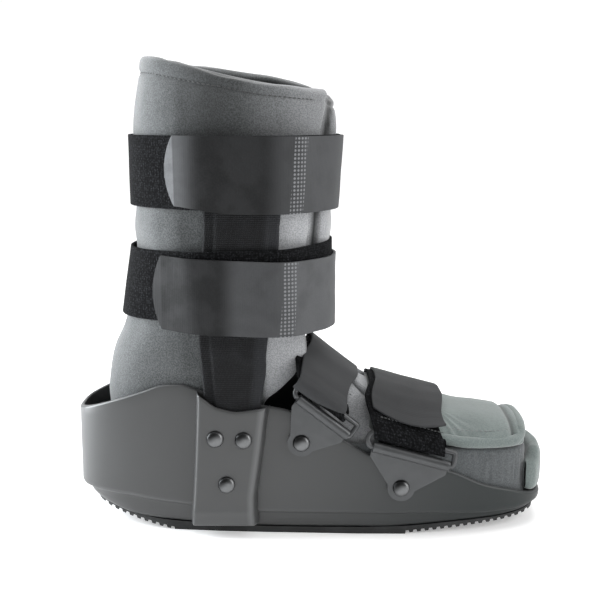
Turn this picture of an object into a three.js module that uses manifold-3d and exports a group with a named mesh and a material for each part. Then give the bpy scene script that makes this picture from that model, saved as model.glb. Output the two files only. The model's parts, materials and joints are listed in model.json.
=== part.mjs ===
// A short medical walking boot: rocker shell, outsole, padded liner, uprights and straps.
// Millimetres, +Z up, +X towards the toes. The origin lies on the flat middle of the sole.
import * as THREE from "three";
import { mergeVertices } from "three/addons/utils/BufferGeometryUtils.js";
import Module from "manifold-3d";

const wasm = await Module();
wasm.setup();

// Clearance between pieces that touch.
const GAP = 0.3;

// Shell: a moulded boat that carries the foot.
const SHELL_LENGTH = 318;
const SHELL_BACK = 114.5;
const SHELL_WIDTH = 110;
const SHELL_HEIGHT = 101;
const SHELL_WALL = 3;
const SHELL_FLOOR_TOP = 15;
const SHELL_FLOOR_LEAST = 3;
const BAND_INSET = 2.6;
const UNDERSIDE_INSET = 5.2;
const CAVITY_SLOPE_RISE = 5;
const HEEL_SQUARENESS = 3;
const TOE_SQUARENESS = 3.1;

// Outsole: rubber tread under the shell.
const PLATFORM_BACK = 47;
const PLATFORM_FRONT = 107;
const TREAD_DEPTH = 1.6;
const HEEL_RIB_PITCH = 5;
const TOE_RIB_PITCH = 5;
const OUTSOLE_INSET = 4.6;
const HEEL_TREAD_INSET = 10.5;
const OUTSOLE_LEAST = 1.6;

// Pockets on the shell's sides, and the uprights that stand in them.
const POCKET_WALL = 3;
const POCKET_TOP = 97;
const POCKET_SCOOP = 11;
const POCKET_FOOT = 8;
const POCKET_LIP = 2.6;
const POCKET_CHAMFER = 0.7;
const UPRIGHT_INNER = 50.6;
const UPRIGHT_THICKNESS = 5;
const UPRIGHT_WIDTH = 48;
const UPRIGHT_FOOT = 30;
const UPRIGHT_TOP = 259;

// Liner: a padded leg wrap, a tray for the foot, a toe roll and two upper pieces.
const LEG_AXIS = -6;
const LEG_TOP = 312;
const LEG_FOOT = 27;
const LEG_SLANT = 25;
const LEG_SLANT_FROM = 200;
const LEG_BACK = 96;
const LEG_FRONT = 61;
const LEG_SIDE = 57;
const LEG_SQUARENESS = 2.3;
const LEG_WALL = 8;
const FLAP_TUCK = 24;
const FLAP_DIVE_FROM = 26;
const FLAP_DIVE_TO = 4;
const HEM_ROUND = 2.5;
const TRAY_BACK = 97;
const TOE_ROOM = 14.5;
const TRAY_FRONT = SHELL_LENGTH - SHELL_BACK - TOE_ROOM;
const TRAY_WALL = 6;
const TRAY_HEIGHT = 66;
const TRAY_FRONT_SQUARENESS = 14;
const FOOTBED_TOP = 25;
const BUMPER_THICKNESS = 11.5;
const BUMPER_OVERHANG = 1.8;
const BUMPER_TOP = 56;
const BUMPER_SQUARENESS = 2.7;
const VAMP_HEIGHT = 121;
const VAMP_WALL = 6;
const VAMP_SQUARENESS = 2.3;

// Leg straps: a black loop band all round, and a smooth closure over its front.
const BAND_WIDTH = 47.5;
const BAND_THICKNESS = 2;
const CLOSURE_THICKNESS = 1.6;
const TAB_ARC = 6.5;
const STRAP_EASE = 4;

// Foot straps, their wire rings and the riveted brackets.
const WEBBING_THICKNESS = 2.2;
const RING_WIRE = 1.8;
const RING_RISE = 9;
const RING_OVERHANG = 4.5;
const RING_LEAN_IN = 1.5;
const BRACKET_THICKNESS = 1.5;
const BRACKET_ROLL = 3.6;
const BRACKET_DROP = 23;
const BRACKET_END = 9;
const RIVET_HEAD = 5.25;
const RIVET_DOME = 2.8;
const RIVET_SHANK = 2.5;

// Lines along the shell: place from heel to toe as a share of its length, heights as shares of its
// height and widths as shares of its width.
const RIM_LINE = [
  { at: 0.0, share: 0.772 },
  { at: 0.047, share: 0.825 },
  { at: 0.109, share: 0.895 },
  { at: 0.149, share: 0.942 },
  { at: 0.197, share: 0.994 },
  { at: 0.234, share: 1.0 },
  { at: 0.269, share: 0.968 },
  { at: 0.335, share: 0.911 },
  { at: 0.407, share: 0.872 },
  { at: 0.454, share: 0.845 },
  { at: 0.571, share: 0.644 },
  { at: 0.618, share: 0.559 },
  { at: 0.675, share: 0.505 },
  { at: 0.785, share: 0.436 },
  { at: 0.86, share: 0.329 },
  { at: 0.92, share: 0.272 },
  { at: 0.983, share: 0.208 },
  { at: 1.0, share: 0.2 },
];
const CREASE_LINE = [
  { at: 0.0, share: 0.25 },
  { at: 0.115, share: 0.238 },
  { at: 0.175, share: 0.216 },
  { at: 0.234, share: 0.2 },
  { at: 0.395, share: 0.161 },
  { at: 0.715, share: 0.161 },
  { at: 0.857, share: 0.138 },
  { at: 0.926, share: 0.135 },
  { at: 1.0, share: 0.158 },
];
const UNDERSIDE_LINE = [
  { at: 0.0, share: 0.19 },
  { at: 0.047, share: 0.146 },
  { at: 0.124, share: 0.092 },
  { at: 0.175, share: 0.072 },
  { at: 0.256, share: 0.06 },
  { at: 0.435, share: 0.045 },
  { at: 0.646, share: 0.052 },
  { at: 0.822, share: 0.08 },
  { at: 0.898, share: 0.088 },
  { at: 0.957, share: 0.103 },
  { at: 1.0, share: 0.13 },
];
const WIDTH_LINE = [
  { at: 0.0, share: 0.87 },
  { at: 0.25, share: 0.9 },
  { at: 0.407, share: 0.93 },
  { at: 0.57, share: 0.97 },
  { at: 0.68, share: 1.0 },
  { at: 0.8, share: 0.99 },
  { at: 1.0, share: 0.96 },
];
// Lowest line of the tread behind and before the flat platform: place as a share of the way out from
// the platform to the end, height as a share of the shell's height.
const HEEL_TREAD_LINE = [
  { at: 0.0, share: 0.0 },
  { at: 0.2, share: 0.02 },
  { at: 0.47, share: 0.05 },
  { at: 0.65, share: 0.074 },
  { at: 0.87, share: 0.108 },
  { at: 1.0, share: 0.134 },
];
const TOE_TREAD_LINE = [
  { at: 0.0, share: 0.006 },
  { at: 0.14, share: 0.017 },
  { at: 0.34, share: 0.031 },
  { at: 0.53, share: 0.044 },
  { at: 0.75, share: 0.057 },
  { at: 0.9, share: 0.068 },
  { at: 1.0, share: 0.082 },
];
// Sections of the leg wrap: height as a share of its top, reach to the back, front and side as shares
// of its named reaches, the near edge as a share of the front reach, and how far the far flap goes
// round the front, from -1 where it stops short of it to 1 where it is tucked under the near flap.
const LEG_SECTIONS = [
  { at: 0.087, back: 0.83, front: 0.82, side: 0.67, edge: 0.13, tuck: -1 },
  { at: 0.144, back: 0.93, front: 0.88, side: 0.73, edge: 0.16, tuck: -1 },
  { at: 0.224, back: 0.98, front: 0.95, side: 0.765, edge: 0.2, tuck: -1 },
  { at: 0.282, back: 1.0, front: 0.98, side: 0.78, edge: 0.27, tuck: -1 },
  { at: 0.308, back: 0.992, front: 0.98, side: 0.8, edge: 0.43, tuck: -1 },
  { at: 0.343, back: 0.97, front: 0.94, side: 0.825, edge: 0.58, tuck: -1 },
  { at: 0.381, back: 0.93, front: 0.87, side: 0.85, edge: 0.66, tuck: -1 },
  { at: 0.42, back: 0.88, front: 0.77, side: 0.875, edge: 0.655, tuck: -0.6 },
  { at: 0.481, back: 0.835, front: 0.82, side: 0.905, edge: 0.67, tuck: 0.2 },
  { at: 0.545, back: 0.8, front: 0.88, side: 0.93, edge: 0.685, tuck: 0.85 },
  { at: 0.615, back: 0.77, front: 0.92, side: 0.953, edge: 0.7, tuck: 1 },
  { at: 0.683, back: 0.766, front: 0.94, side: 0.97, edge: 0.73, tuck: 1 },
  { at: 0.77, back: 0.77, front: 0.972, side: 0.99, edge: 0.77, tuck: 1 },
  { at: 0.843, back: 0.768, front: 0.988, side: 1.0, edge: 0.81, tuck: 1 },
  { at: 0.917, back: 0.739, front: 1.0, side: 1.0, edge: 0.85, tuck: 1 },
  { at: 0.975, back: 0.71, front: 0.98, side: 0.985, edge: 0.88, tuck: 1 },
  { at: 1.0, back: 0.7, front: 0.95, side: 0.97, edge: 0.885, tuck: 1 },
];
// Height of the tray's side walls, as a share of its full height, along the shell.
const TRAY_LINE = [
  { at: 0.0, share: 0.4 },
  { at: 0.41, share: 0.4 },
  { at: 0.47, share: 0.93 },
  { at: 0.6, share: 0.94 },
  { at: 0.78, share: 0.89 },
  { at: 0.94, share: 0.845 },
  { at: 1.0, share: 0.845 },
];
// Sections of the two upper pieces, along the shell: crown and lower edge as shares of the height of
// the vamp, and the half width as a share of half the shell's width there.
const INSTEP_SECTIONS = [
  { at: 0.487, crown: 0.995, edge: 0.84, side: 0.55 },
  { at: 0.505, crown: 0.955, edge: 0.72, side: 0.74 },
  { at: 0.53, crown: 0.9, edge: 0.57, side: 0.81 },
  { at: 0.56, crown: 0.83, edge: 0.485, side: 0.815 },
  { at: 0.595, crown: 0.745, edge: 0.48, side: 0.815 },
  { at: 0.615, crown: 0.716, edge: 0.48, side: 0.815 },
  { at: 0.64, crown: 0.69, edge: 0.48, side: 0.81 },
];
const TOE_FLAP_SECTIONS = [
  { at: 0.617, crown: 0.769, edge: 0.605, side: 0.955 },
  { at: 0.64, crown: 0.755, edge: 0.59, side: 0.955 },
  { at: 0.67, crown: 0.735, edge: 0.572, side: 0.955 },
  { at: 0.706, crown: 0.706, edge: 0.55, side: 0.955 },
  { at: 0.745, crown: 0.676, edge: 0.53, side: 0.955 },
  { at: 0.785, crown: 0.643, edge: 0.508, side: 0.955 },
  { at: 0.82, crown: 0.622, edge: 0.49, side: 0.955 },
  { at: 0.86, crown: 0.611, edge: 0.48, side: 0.955 },
  { at: 0.9, crown: 0.597, edge: 0.474, side: 0.955 },
  { at: 0.93, crown: 0.585, edge: 0.474, side: 0.955 },
  { at: 0.95, crown: 0.565, edge: 0.476, side: 0.95 },
];
// Rear and front edge of an upright, as shares of its width, by height as a share of its top.
const UPRIGHT_SECTIONS = [
  { at: 0.115, rear: -0.54, front: 0.08 },
  { at: 0.23, rear: -0.53, front: 0.17 },
  { at: 0.35, rear: -0.52, front: 0.25 },
  { at: 0.42, rear: -0.54, front: 0.31 },
  { at: 0.51, rear: -0.575, front: 0.345 },
  { at: 0.64, rear: -0.53, front: 0.43 },
  { at: 0.78, rear: -0.49, front: 0.505 },
  { at: 1.0, rear: -0.46, front: 0.54 },
];
// Outline of a pocket's face behind and before the upright: how far it stands out past the upright's
// edge, as a share of the lip, by height as a share of the pocket's top.
const POCKET_SIDES = [
  { at: 0.08, rear: 2.6, front: 1.1 },
  { at: 0.18, rear: 2.4, front: 1.0 },
  { at: 0.3, rear: 2.0, front: 1.0 },
  { at: 1.0, rear: 1.1, front: 1.0 },
];
// Rivets of a pocket: place along the upright's width and height on the pocket, as shares.
const POCKET_RIVETS = [
  { name: "rear", along: -0.367, height: 0.704 },
  { name: "front", along: 0.012, height: 0.695 },
  { name: "low", along: -0.219, height: 0.387 },
];
// Leg straps: heights of the band at the back and front as shares of the leg wrap's top, how far its
// lower edge hangs straight down from the upper one where the leg is narrower below (1 is all the
// way), how far the closure lies above the band at the back and front as shares of its width, and
// where the closure starts at its tab and ends on the far side, in degrees round the leg from its
// front, by way of the near side.
const LEG_STRAPS = [
  {
    name: "upper",
    back: 0.762,
    bandFront: 0.762,
    straight: 0,
    closureBack: 0.006,
    closureFront: -0.013,
    tab: 127,
    end: -95,
  },
  {
    name: "lower",
    back: 0.528,
    bandFront: 0.54,
    straight: 1,
    closureBack: -0.025,
    closureFront: -0.21,
    tab: 138,
    end: -95,
  },
];
// Foot straps: the middle of the bracket's rolled edge, its slope in degrees, the widths, how far the
// strap leans back as it rises, its clearance over the padding and the height of its near and far ends.
const FOOT_STRAPS = {
  instep: {
    rollX: 52,
    rollZ: 82.6,
    slope: 37.7,
    rollLength: 40,
    webbingWidth: 37,
    closureWidth: 40,
    lean: -10,
    lift: 2.4,
    closureStart: 8,
    anchorDrop: 26,
  },
  forefoot: {
    rollX: 109,
    rollZ: 56.5,
    slope: 14.9,
    rollLength: 51,
    webbingWidth: 47.5,
    closureWidth: 49,
    lean: -9,
    lift: 1.2,
    closureStart: 20.5,
    anchorDrop: 20,
  },
};

// Numbers of steps round and along the pieces.
const SHELL_STEPS = 34;
const TRAY_STEPS = 28;
const LEG_STEPS = 28;
const ARCH_STEPS = 10;
const BAND_STEPS = 52;
const STRAP_STEPS = 38;
const HOOK_POINTS = 7;
const BUMPER_STEPS = 12;
const BUMPER_SIDES = 12;
const OVER_POINTS = 15;
const BED_POINTS = 72;
const UPRIGHT_STEPS = 9;
const RING_BOW_STEPS = 6;
const WIRE_SIDES = 6;
const ROUND_SIDES = 10;

const COLOURS = {
  shell: 0x5b5c5d,
  rubber: 0x17181a,
  liner: 0x83878a,
  flap: 0x8b9492,
  webbing: 0x17181b,
  closure: 0x4d4f52,
  bracket: 0x6c6e70,
  wire: 0x9a9c9e,
};

// The value of a column at a place between a table's rows, on a smooth line without overshoot.
function follow(rows, column, place) {
  const last = rows.length - 1;
  if (place <= rows[0].at) return rows[0][column];
  if (place >= rows[last].at) return rows[last][column];
  const i = rows.findIndex((row) => row.at > place) - 1;
  const secant = (k) =>
    (rows[k + 1][column] - rows[k][column]) / (rows[k + 1].at - rows[k].at);
  const slope = (k) => {
    if (k === 0) return secant(0);
    if (k === last) return secant(last - 1);
    const before = secant(k - 1);
    const after = secant(k);
    return before * after <= 0 ? 0 : (2 * before * after) / (before + after);
  };
  const step = rows[i + 1].at - rows[i].at;
  const t = (place - rows[i].at) / step;
  const rise = t * t * (3 - 2 * t);
  return (
    rows[i][column] * (1 - rise) +
    rows[i + 1][column] * rise +
    step * t * (1 - t) * ((1 - t) * slope(i) - t * slope(i + 1))
  );
}

const clamp = THREE.MathUtils.clamp;
const smooth = THREE.MathUtils.smoothstep;
const mix = THREE.MathUtils.lerp;
const radians = THREE.MathUtils.degToRad;
const signedPower = (value, power) => Math.sign(value) * Math.abs(value) ** power;

// A closed body from a list of rings of points. The ends are closed by a strip between the two halves
// of the ring, which meet in single points (apex) or in edges.
function loft(rings, { closed = false, apex = false } = {}) {
  const count = rings[0].length;
  const index = [];
  const quad = (a, b, c, d) => {
    if (a !== b) index.push(a, b, c);
    if (c !== d) index.push(a, c, d);
  };
  const bands = closed ? rings.length : rings.length - 1;
  for (let ring = 0; ring < bands; ring += 1) {
    const low = ring * count;
    const high = ((ring + 1) % rings.length) * count;
    for (let point = 0; point < count; point += 1) {
      const next = (point + 1) % count;
      quad(low + point, low + next, high + next, high + point);
    }
  }
  if (!closed) {
    const partner = (point) => (count - point - (apex ? 0 : 1)) % count;
    const top = (rings.length - 1) * count;
    for (let point = 0; point < count / 2 - (apex ? 0 : 1); point += 1) {
      const [p, q] = [point, point + 1];
      quad(partner(p), partner(q), q, p);
      quad(top + p, top + q, top + partner(q), top + partner(p));
    }
  }
  const geometry = new THREE.BufferGeometry();
  geometry.setAttribute(
    "position",
    new THREE.Float32BufferAttribute(rings.flat(2), 3),
  );
  geometry.setIndex(index);
  return facingOut(geometry);
}

// The same closed geometry with its faces turned outwards.
function facingOut(geometry) {
  const place = geometry.getAttribute("position");
  const index = geometry.index.array;
  const corner = (i) => new THREE.Vector3().fromBufferAttribute(place, index[i]);
  let volume = 0;
  for (let i = 0; i < index.length; i += 3) {
    volume += corner(i).dot(corner(i + 1).cross(corner(i + 2)));
  }
  if (volume < 0) geometry.setIndex([...index].reverse());
  return geometry;
}

function solidOf(geometry) {
  const bare = geometry.clone();
  bare.deleteAttribute("normal");
  bare.deleteAttribute("uv");
  const merged = mergeVertices(bare, 1e-4);
  const mesh = new wasm.Mesh({
    numProp: 3,
    vertProperties: merged.getAttribute("position").array,
    triVerts: new Uint32Array(merged.index.array),
  });
  return new wasm.Manifold(mesh);
}

function geometryOf(solid) {
  const mesh = solid.getMesh();
  const geometry = new THREE.BufferGeometry();
  geometry.setAttribute(
    "position",
    new THREE.BufferAttribute(mesh.vertProperties, mesh.numProp),
  );
  geometry.setIndex(new THREE.BufferAttribute(mesh.triVerts, 1));
  return geometry;
}

const joined = (solids) => solids.reduce((sum, solid) => sum.add(solid));
const without = (body, cuts) => cuts.reduce((rest, cut) => rest.subtract(cut), body);

// Share of the shell's length at x, and heights of its lines there.
const shareAt = (x) => (x + SHELL_BACK) / SHELL_LENGTH;
const placeAt = (share) => share * SHELL_LENGTH - SHELL_BACK;
const rimAt = (x) => SHELL_HEIGHT * follow(RIM_LINE, "share", shareAt(x));
const creaseAt = (x) => SHELL_HEIGHT * follow(CREASE_LINE, "share", shareAt(x));
const undersideAt = (x) => SHELL_HEIGHT * follow(UNDERSIDE_LINE, "share", shareAt(x));
const floorAt = (x) => Math.max(SHELL_FLOOR_TOP, undersideAt(x) + SHELL_FLOOR_LEAST);

// How far the plan's rounded ends narrow it, at a share of the way along it.
function endRound(share, heelPower, toePower) {
  const power = share < 0.5 ? heelPower : toePower;
  return (1 - Math.abs(2 * share - 1) ** power) ** (1 / power);
}

// Half the width of the shell's plan at x, drawn in by an inset.
function halfWidthAt(x, inset = 0) {
  const full = (SHELL_WIDTH / 2) * follow(WIDTH_LINE, "share", shareAt(x));
  const share = (x + SHELL_BACK - inset) / (SHELL_LENGTH - 2 * inset);
  return (full - inset) * endRound(clamp(share, 0, 1), HEEL_SQUARENESS, TOE_SQUARENESS);
}

// Places from 0 to 1, closer together towards both ends.
const spread = (steps) =>
  Array.from({ length: steps + 1 }, (_, i) => 0.5 - 0.5 * Math.cos((Math.PI * i) / steps));

// A ring round the plan: heel, near side, toe and far side.
function planRing(places, halfWidth, height) {
  const near = places.map((x) => [x, -halfWidth(x), height(x)]);
  const far = near.slice(1, -1).map(([x, y, z]) => [x, -y, z]);
  return [...near, ...far.reverse()];
}

function shellRing(inset, height) {
  const length = SHELL_LENGTH - 2 * inset;
  const places = spread(SHELL_STEPS).map((share) => inset - SHELL_BACK + share * length);
  return planRing(places, (x) => halfWidthAt(x, inset), height);
}

function shellOuter() {
  return loft(
    [
      shellRing(UNDERSIDE_INSET, undersideAt),
      shellRing(BAND_INSET + 0.4, (x) => mix(undersideAt(x), creaseAt(x), 0.45)),
      shellRing(BAND_INSET, (x) => mix(undersideAt(x), creaseAt(x), 0.85)),
      shellRing(0, creaseAt),
      shellRing(0, rimAt),
    ],
    { apex: true },
  );
}

function shellCavity() {
  const foot = SHELL_WALL + UNDERSIDE_INSET;
  return loft(
    [
      shellRing(foot, floorAt),
      shellRing(SHELL_WALL, (x) => Math.max(creaseAt(x), floorAt(x)) + CAVITY_SLOPE_RISE),
      shellRing(SHELL_WALL, (x) => rimAt(x) + SHELL_WALL),
    ],
    { apex: true },
  );
}

// Reach of the leg wrap's sections at a height.
const legAt = (column, z) => follow(LEG_SECTIONS, column, z / LEG_TOP);

// A point of the leg wrap's outline at a height, by its angle from the front, drawn in by an inset.
// Down in the shell it keeps clear of the shell's walls.
function legPoint(angle, z, inset) {
  const cos = signedPower(Math.cos(angle), 2 / LEG_SQUARENESS);
  const sin = signedPower(Math.sin(angle), 2 / LEG_SQUARENESS);
  const reach =
    cos > 0 ? LEG_FRONT * legAt("front", z) - LEG_AXIS : LEG_BACK * legAt("back", z) + LEG_AXIS;
  const x = LEG_AXIS + (reach - inset) * cos;
  const half = (LEG_SIDE * legAt("side", z) - inset) * Math.abs(sin);
  const room = halfWidthAt(x) - SHELL_WALL - 2 * GAP - inset;
  const within = z < SHELL_HEIGHT + SHELL_WALL * 3;
  return [x, -Math.sign(sin) * (within ? Math.min(half, room) : half)];
}

// The wrap's top slants down to the front: heights above a level are pressed together there.
function slantAt(x) {
  const share = smooth(x, -LEG_BACK * 0.7, LEG_FRONT);
  return 1 - (LEG_SLANT * share) / (LEG_TOP - LEG_SLANT_FROM);
}

const slanted = (x, z) => z - Math.max(0, z - LEG_SLANT_FROM) * (1 - slantAt(x));
const unslanted = (x, z) => z + Math.max(0, z - LEG_SLANT_FROM) * (1 / slantAt(x) - 1);

// Angle of the near flap's free edge at a height.
function nearEdgeAngle(z) {
  const reach = LEG_FRONT * legAt("front", z) - LEG_AXIS;
  const share = (LEG_FRONT * legAt("edge", z) - LEG_AXIS) / reach;
  return Math.acos(share ** (LEG_SQUARENESS / 2));
}

// One section of the leg wrap: out along its outer face from the near edge round the heel to the
// far flap's end, and back along its inner face.
function legRing(z, roundOff) {
  const start = nearEdgeAngle(z);
  const tuck = legAt("tuck", z);
  const end = 2 * Math.PI + tuck * start + Math.max(0, tuck) * radians(FLAP_TUCK);
  const under = 2 * Math.PI + start;
  const face = (depth) =>
    Array.from({ length: LEG_STEPS + 1 }, (_, i) => {
      const angle = mix(start, end, i / LEG_STEPS);
      const dive = smooth(angle, under - radians(FLAP_DIVE_FROM), under - radians(FLAP_DIVE_TO));
      const [x, y] = legPoint(angle, z, depth + dive * (LEG_WALL + 3 * GAP));
      return [x, y, slanted(x, z)];
    });
  return [...face(roundOff), ...face(LEG_WALL - roundOff).reverse()];
}

function linerLeg() {
  const levels = LEG_SECTIONS.map((row) => row.at * LEG_TOP);
  const top = levels.pop();
  const rings = [LEG_FOOT, ...levels.slice(1)].map((z) => legRing(z, 0));
  return loft([...rings, legRing(top - HEM_ROUND / 2, HEM_ROUND / 2), legRing(top, HEM_ROUND)]);
}

const trayHalfAt = (x, inset) => {
  const share = clamp((x + TRAY_BACK) / (TRAY_BACK + TRAY_FRONT), 0, 1);
  const room = halfWidthAt(x) - SHELL_WALL - 2 * GAP;
  return (room - inset) * endRound(share, HEEL_SQUARENESS, TRAY_FRONT_SQUARENESS);
};

function linerFoot() {
  const ring = (inset, height) => {
    const back = inset - TRAY_BACK;
    const places = spread(TRAY_STEPS).map((share) => mix(back, TRAY_FRONT - inset, share));
    const half = (x) => {
      const stretched = mix(-TRAY_BACK, TRAY_FRONT, (x - back) / (TRAY_FRONT - inset - back));
      return trayHalfAt(stretched, inset);
    };
    return planRing(places, half, height);
  };
  const foot = (x) => floorAt(x) + GAP;
  const wallTop = (x) => TRAY_HEIGHT * follow(TRAY_LINE, "share", shareAt(x));
  return loft(
    [
      ring(UNDERSIDE_INSET + 2 * GAP, foot),
      ring(0, (x) => Math.max(creaseAt(x), floorAt(x)) + CAVITY_SLOPE_RISE + 2 * GAP),
      ring(0, wallTop),
      ring(TRAY_WALL, wallTop),
      ring(TRAY_WALL, () => FOOTBED_TOP),
    ],
    { apex: true },
  );
}

// The toe roll: an upright padded roll round the front of the tray.
function toeBumper() {
  const middle = BUMPER_THICKNESS / 2;
  const first = TRAY_FRONT + 2 * GAP;
  const plan = [];
  for (let i = 0; i <= BUMPER_STEPS; i += 1) {
    const turn = mix(-1, 1, i / BUMPER_STEPS);
    const tip = placeAt(1) + BUMPER_OVERHANG - middle;
    const x = first + (tip - first) * (1 - Math.abs(turn) ** BUMPER_SQUARENESS) ** 0.8;
    plan.push([x, turn * (halfWidthAt(first) + BUMPER_OVERHANG - middle)]);
  }
  const rings = plan.map(([x, y], i) => {
    const [ahead, behind] = [plan[Math.min(i + 1, BUMPER_STEPS)], plan[Math.max(i - 1, 0)]];
    const ends = i === 0 || i === BUMPER_STEPS;
    const out = ends
      ? new THREE.Vector2(0, Math.sign(y))
      : new THREE.Vector2(ahead[1] - behind[1], behind[0] - ahead[0]).normalize();
    const foot = rimAt(x) + 2 * GAP;
    const half = (BUMPER_TOP - foot) / 2;
    return Array.from({ length: BUMPER_SIDES }, (_, k) => {
      const angle = (2 * Math.PI * (k + 0.5)) / BUMPER_SIDES;
      const reach = middle * signedPower(Math.cos(angle), 0.8);
      const rise = half * signedPower(Math.sin(angle), 0.6);
      return [x + out.x * reach, y + out.y * reach, foot + half + rise];
    });
  });
  return loft(rings);
}

// Height of an arched section over a half width, between its lower edge and its crown.
function archHeight(y, half, edge, crown) {
  const share = clamp(Math.abs(y) / half, 0, 1);
  return edge + (crown - edge) * (1 - share ** VAMP_SQUARENESS) ** (1 / VAMP_SQUARENESS);
}

function archAt(rows, x) {
  const share = shareAt(x);
  return {
    half: follow(rows, "side", share) * halfWidthAt(x) - GAP,
    edge: follow(rows, "edge", share) * VAMP_HEIGHT,
    crown: follow(rows, "crown", share) * VAMP_HEIGHT,
  };
}

// A padded upper piece: arched sections along the foot, open below.
function upperPiece(rows) {
  const rings = rows.map((row) => {
    const x = placeAt(row.at);
    const { half, edge, crown } = archAt(rows, x);
    const face = (depth) =>
      Array.from({ length: ARCH_STEPS + 1 }, (_, i) => {
        const angle = Math.PI * (i / ARCH_STEPS);
        const y = -(half - depth) * signedPower(Math.cos(angle), 0.86);
        return [x, y, archHeight(y, half - depth, edge, crown - depth)];
      });
    return [...face(0), ...face(VAMP_WALL).reverse()];
  });
  return loft(rings);
}

// Rear edge, front edge and inner face of an upright at a height.
function uprightAt(z) {
  const share = z / UPRIGHT_TOP;
  return {
    rear: UPRIGHT_WIDTH * follow(UPRIGHT_SECTIONS, "rear", share),
    front: UPRIGHT_WIDTH * follow(UPRIGHT_SECTIONS, "front", share),
    inner: Math.max(UPRIGHT_INNER, LEG_SIDE * legAt("side", z) + 2 * GAP),
  };
}

// An upright on one side of the boot, grown by a clearance where it is used as a cutter.
function upright(side, clearance = 0) {
  const levels = [UPRIGHT_FOOT - clearance];
  const rise = UPRIGHT_TOP - UPRIGHT_FOOT;
  for (let i = 1; i <= UPRIGHT_STEPS; i += 1) levels.push(UPRIGHT_FOOT + (rise * i) / UPRIGHT_STEPS);
  const rings = levels.map((z) => {
    const { rear, front, inner } = uprightAt(z);
    const [x0, x1] = [rear - clearance, front + clearance];
    const [y0, y1] = [inner - clearance, inner + UPRIGHT_THICKNESS + clearance];
    const soft = clearance ? 0.2 : 1.2;
    return [
      [x0 + soft, side * y0, z],
      [x1 - soft, side * y0, z],
      [x1, side * (y0 + soft), z],
      [x1, side * (y1 - soft), z],
      [x1 - soft, side * y1, z],
      [x0 + soft, side * y1, z],
      [x0, side * (y1 - soft), z],
      [x0, side * (y0 + soft), z],
    ];
  });
  return solidOf(loft(rings));
}

// How far out the pockets' faces lie.
const POCKET_OUTER = UPRIGHT_INNER + UPRIGHT_THICKNESS + GAP + POCKET_WALL;

// The raised pocket on one side of the shell: a scooped top, and sides that follow the upright.
function pocket(side) {
  const edge = (z, end, column) => {
    const lip = POCKET_LIP * follow(POCKET_SIDES, column, z / POCKET_TOP);
    return uprightAt(Math.max(z, UPRIGHT_FOOT))[end] + (column === "rear" ? -lip : lip);
  };
  const levels = [1, 0.8, 0.55, 0.3, 0.18, 0.1].map((share) => share * POCKET_TOP);
  const rearTop = edge(POCKET_TOP, "rear", "rear");
  const frontTop = edge(POCKET_TOP, "front", "front");
  const shape = new THREE.Shape();
  shape.moveTo(rearTop, POCKET_TOP);
  levels.slice(1).forEach((z) => shape.lineTo(edge(z, "rear", "rear"), z));
  shape.lineTo(edge(POCKET_FOOT, "rear", "rear") + 1, POCKET_FOOT);
  shape.lineTo(edge(POCKET_FOOT, "front", "front") - 1, POCKET_FOOT);
  levels
    .slice(1)
    .reverse()
    .forEach((z) => shape.lineTo(edge(z, "front", "front"), z));
  shape.lineTo(frontTop, POCKET_TOP - POCKET_SCOOP * 0.8);
  shape.bezierCurveTo(
    mix(rearTop, frontTop, 0.55),
    POCKET_TOP - POCKET_SCOOP * 1.1,
    mix(rearTop, frontTop, 0.25),
    POCKET_TOP - POCKET_SCOOP,
    rearTop,
    POCKET_TOP,
  );
  const pad = new THREE.ExtrudeGeometry(shape, {
    depth: POCKET_OUTER - SHELL_WIDTH / 4 - POCKET_CHAMFER,
    bevelThickness: POCKET_CHAMFER,
    bevelSize: POCKET_CHAMFER,
    bevelOffset: -POCKET_CHAMFER,
    bevelSegments: 1,
    curveSegments: 8,
  });
  // The extrusion's axis is turned from +Z to the side the pocket stands on.
  pad.rotateX(Math.PI / 2);
  pad.translate(0, POCKET_CHAMFER - SHELL_WIDTH / 4, 0);
  const solid = solidOf(pad);
  return side < 0 ? solid : solid.mirror([0, 1, 0]);
}

// A domed rivet along Y: its head outside at a place, its shank running inwards.
function rivet(x, seat, z, side, grip) {
  const profile = [new THREE.Vector2(0, -grip), new THREE.Vector2(RIVET_SHANK, -grip)];
  profile.push(new THREE.Vector2(RIVET_SHANK, 0), new THREE.Vector2(RIVET_HEAD, 0));
  profile.push(new THREE.Vector2(RIVET_HEAD * 0.95, RIVET_DOME * 0.35));
  profile.push(new THREE.Vector2(RIVET_HEAD * 0.6, RIVET_DOME * 0.82));
  profile.push(new THREE.Vector2(0, RIVET_DOME));
  const body = new THREE.LatheGeometry(profile, ROUND_SIDES);
  if (side < 0) body.rotateX(Math.PI);
  body.translate(x, side * seat, z);
  return solidOf(body);
}

// The clearance hole of a rivet, through what lies between two depths.
function rivetHole(x, z, side, from, to) {
  const radius = RIVET_SHANK + GAP;
  const hole = new THREE.CylinderGeometry(radius, radius, to - from, ROUND_SIDES);
  hole.translate(x, (side * (from + to)) / 2, z);
  return solidOf(hole);
}

const pocketRivets = POCKET_RIVETS.map((row) => ({
  name: row.name,
  x: row.along * UPRIGHT_WIDTH,
  z: row.height * POCKET_TOP,
}));

// Local frame of a foot strap: s along the bracket's rolled edge, h up from it, y across the boot.
function strapFrame(strap) {
  const slope = radians(strap.slope);
  const [cos, sin] = [Math.cos(slope), Math.sin(slope)];
  return (s, y, h) => [
    strap.rollX + s * cos + h * sin,
    y,
    strap.rollZ - s * sin + h * cos,
  ];
}

// Inner face of a bracket: just clear of the widest part of the shell behind it.
function bracketSeat(strap) {
  const half = (strap.rollLength / 2) * Math.cos(radians(strap.slope));
  const places = [-1, -0.5, 0, 0.5, 1].map((share) => halfWidthAt(strap.rollX + share * half));
  return Math.max(...places) + GAP;
}

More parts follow.
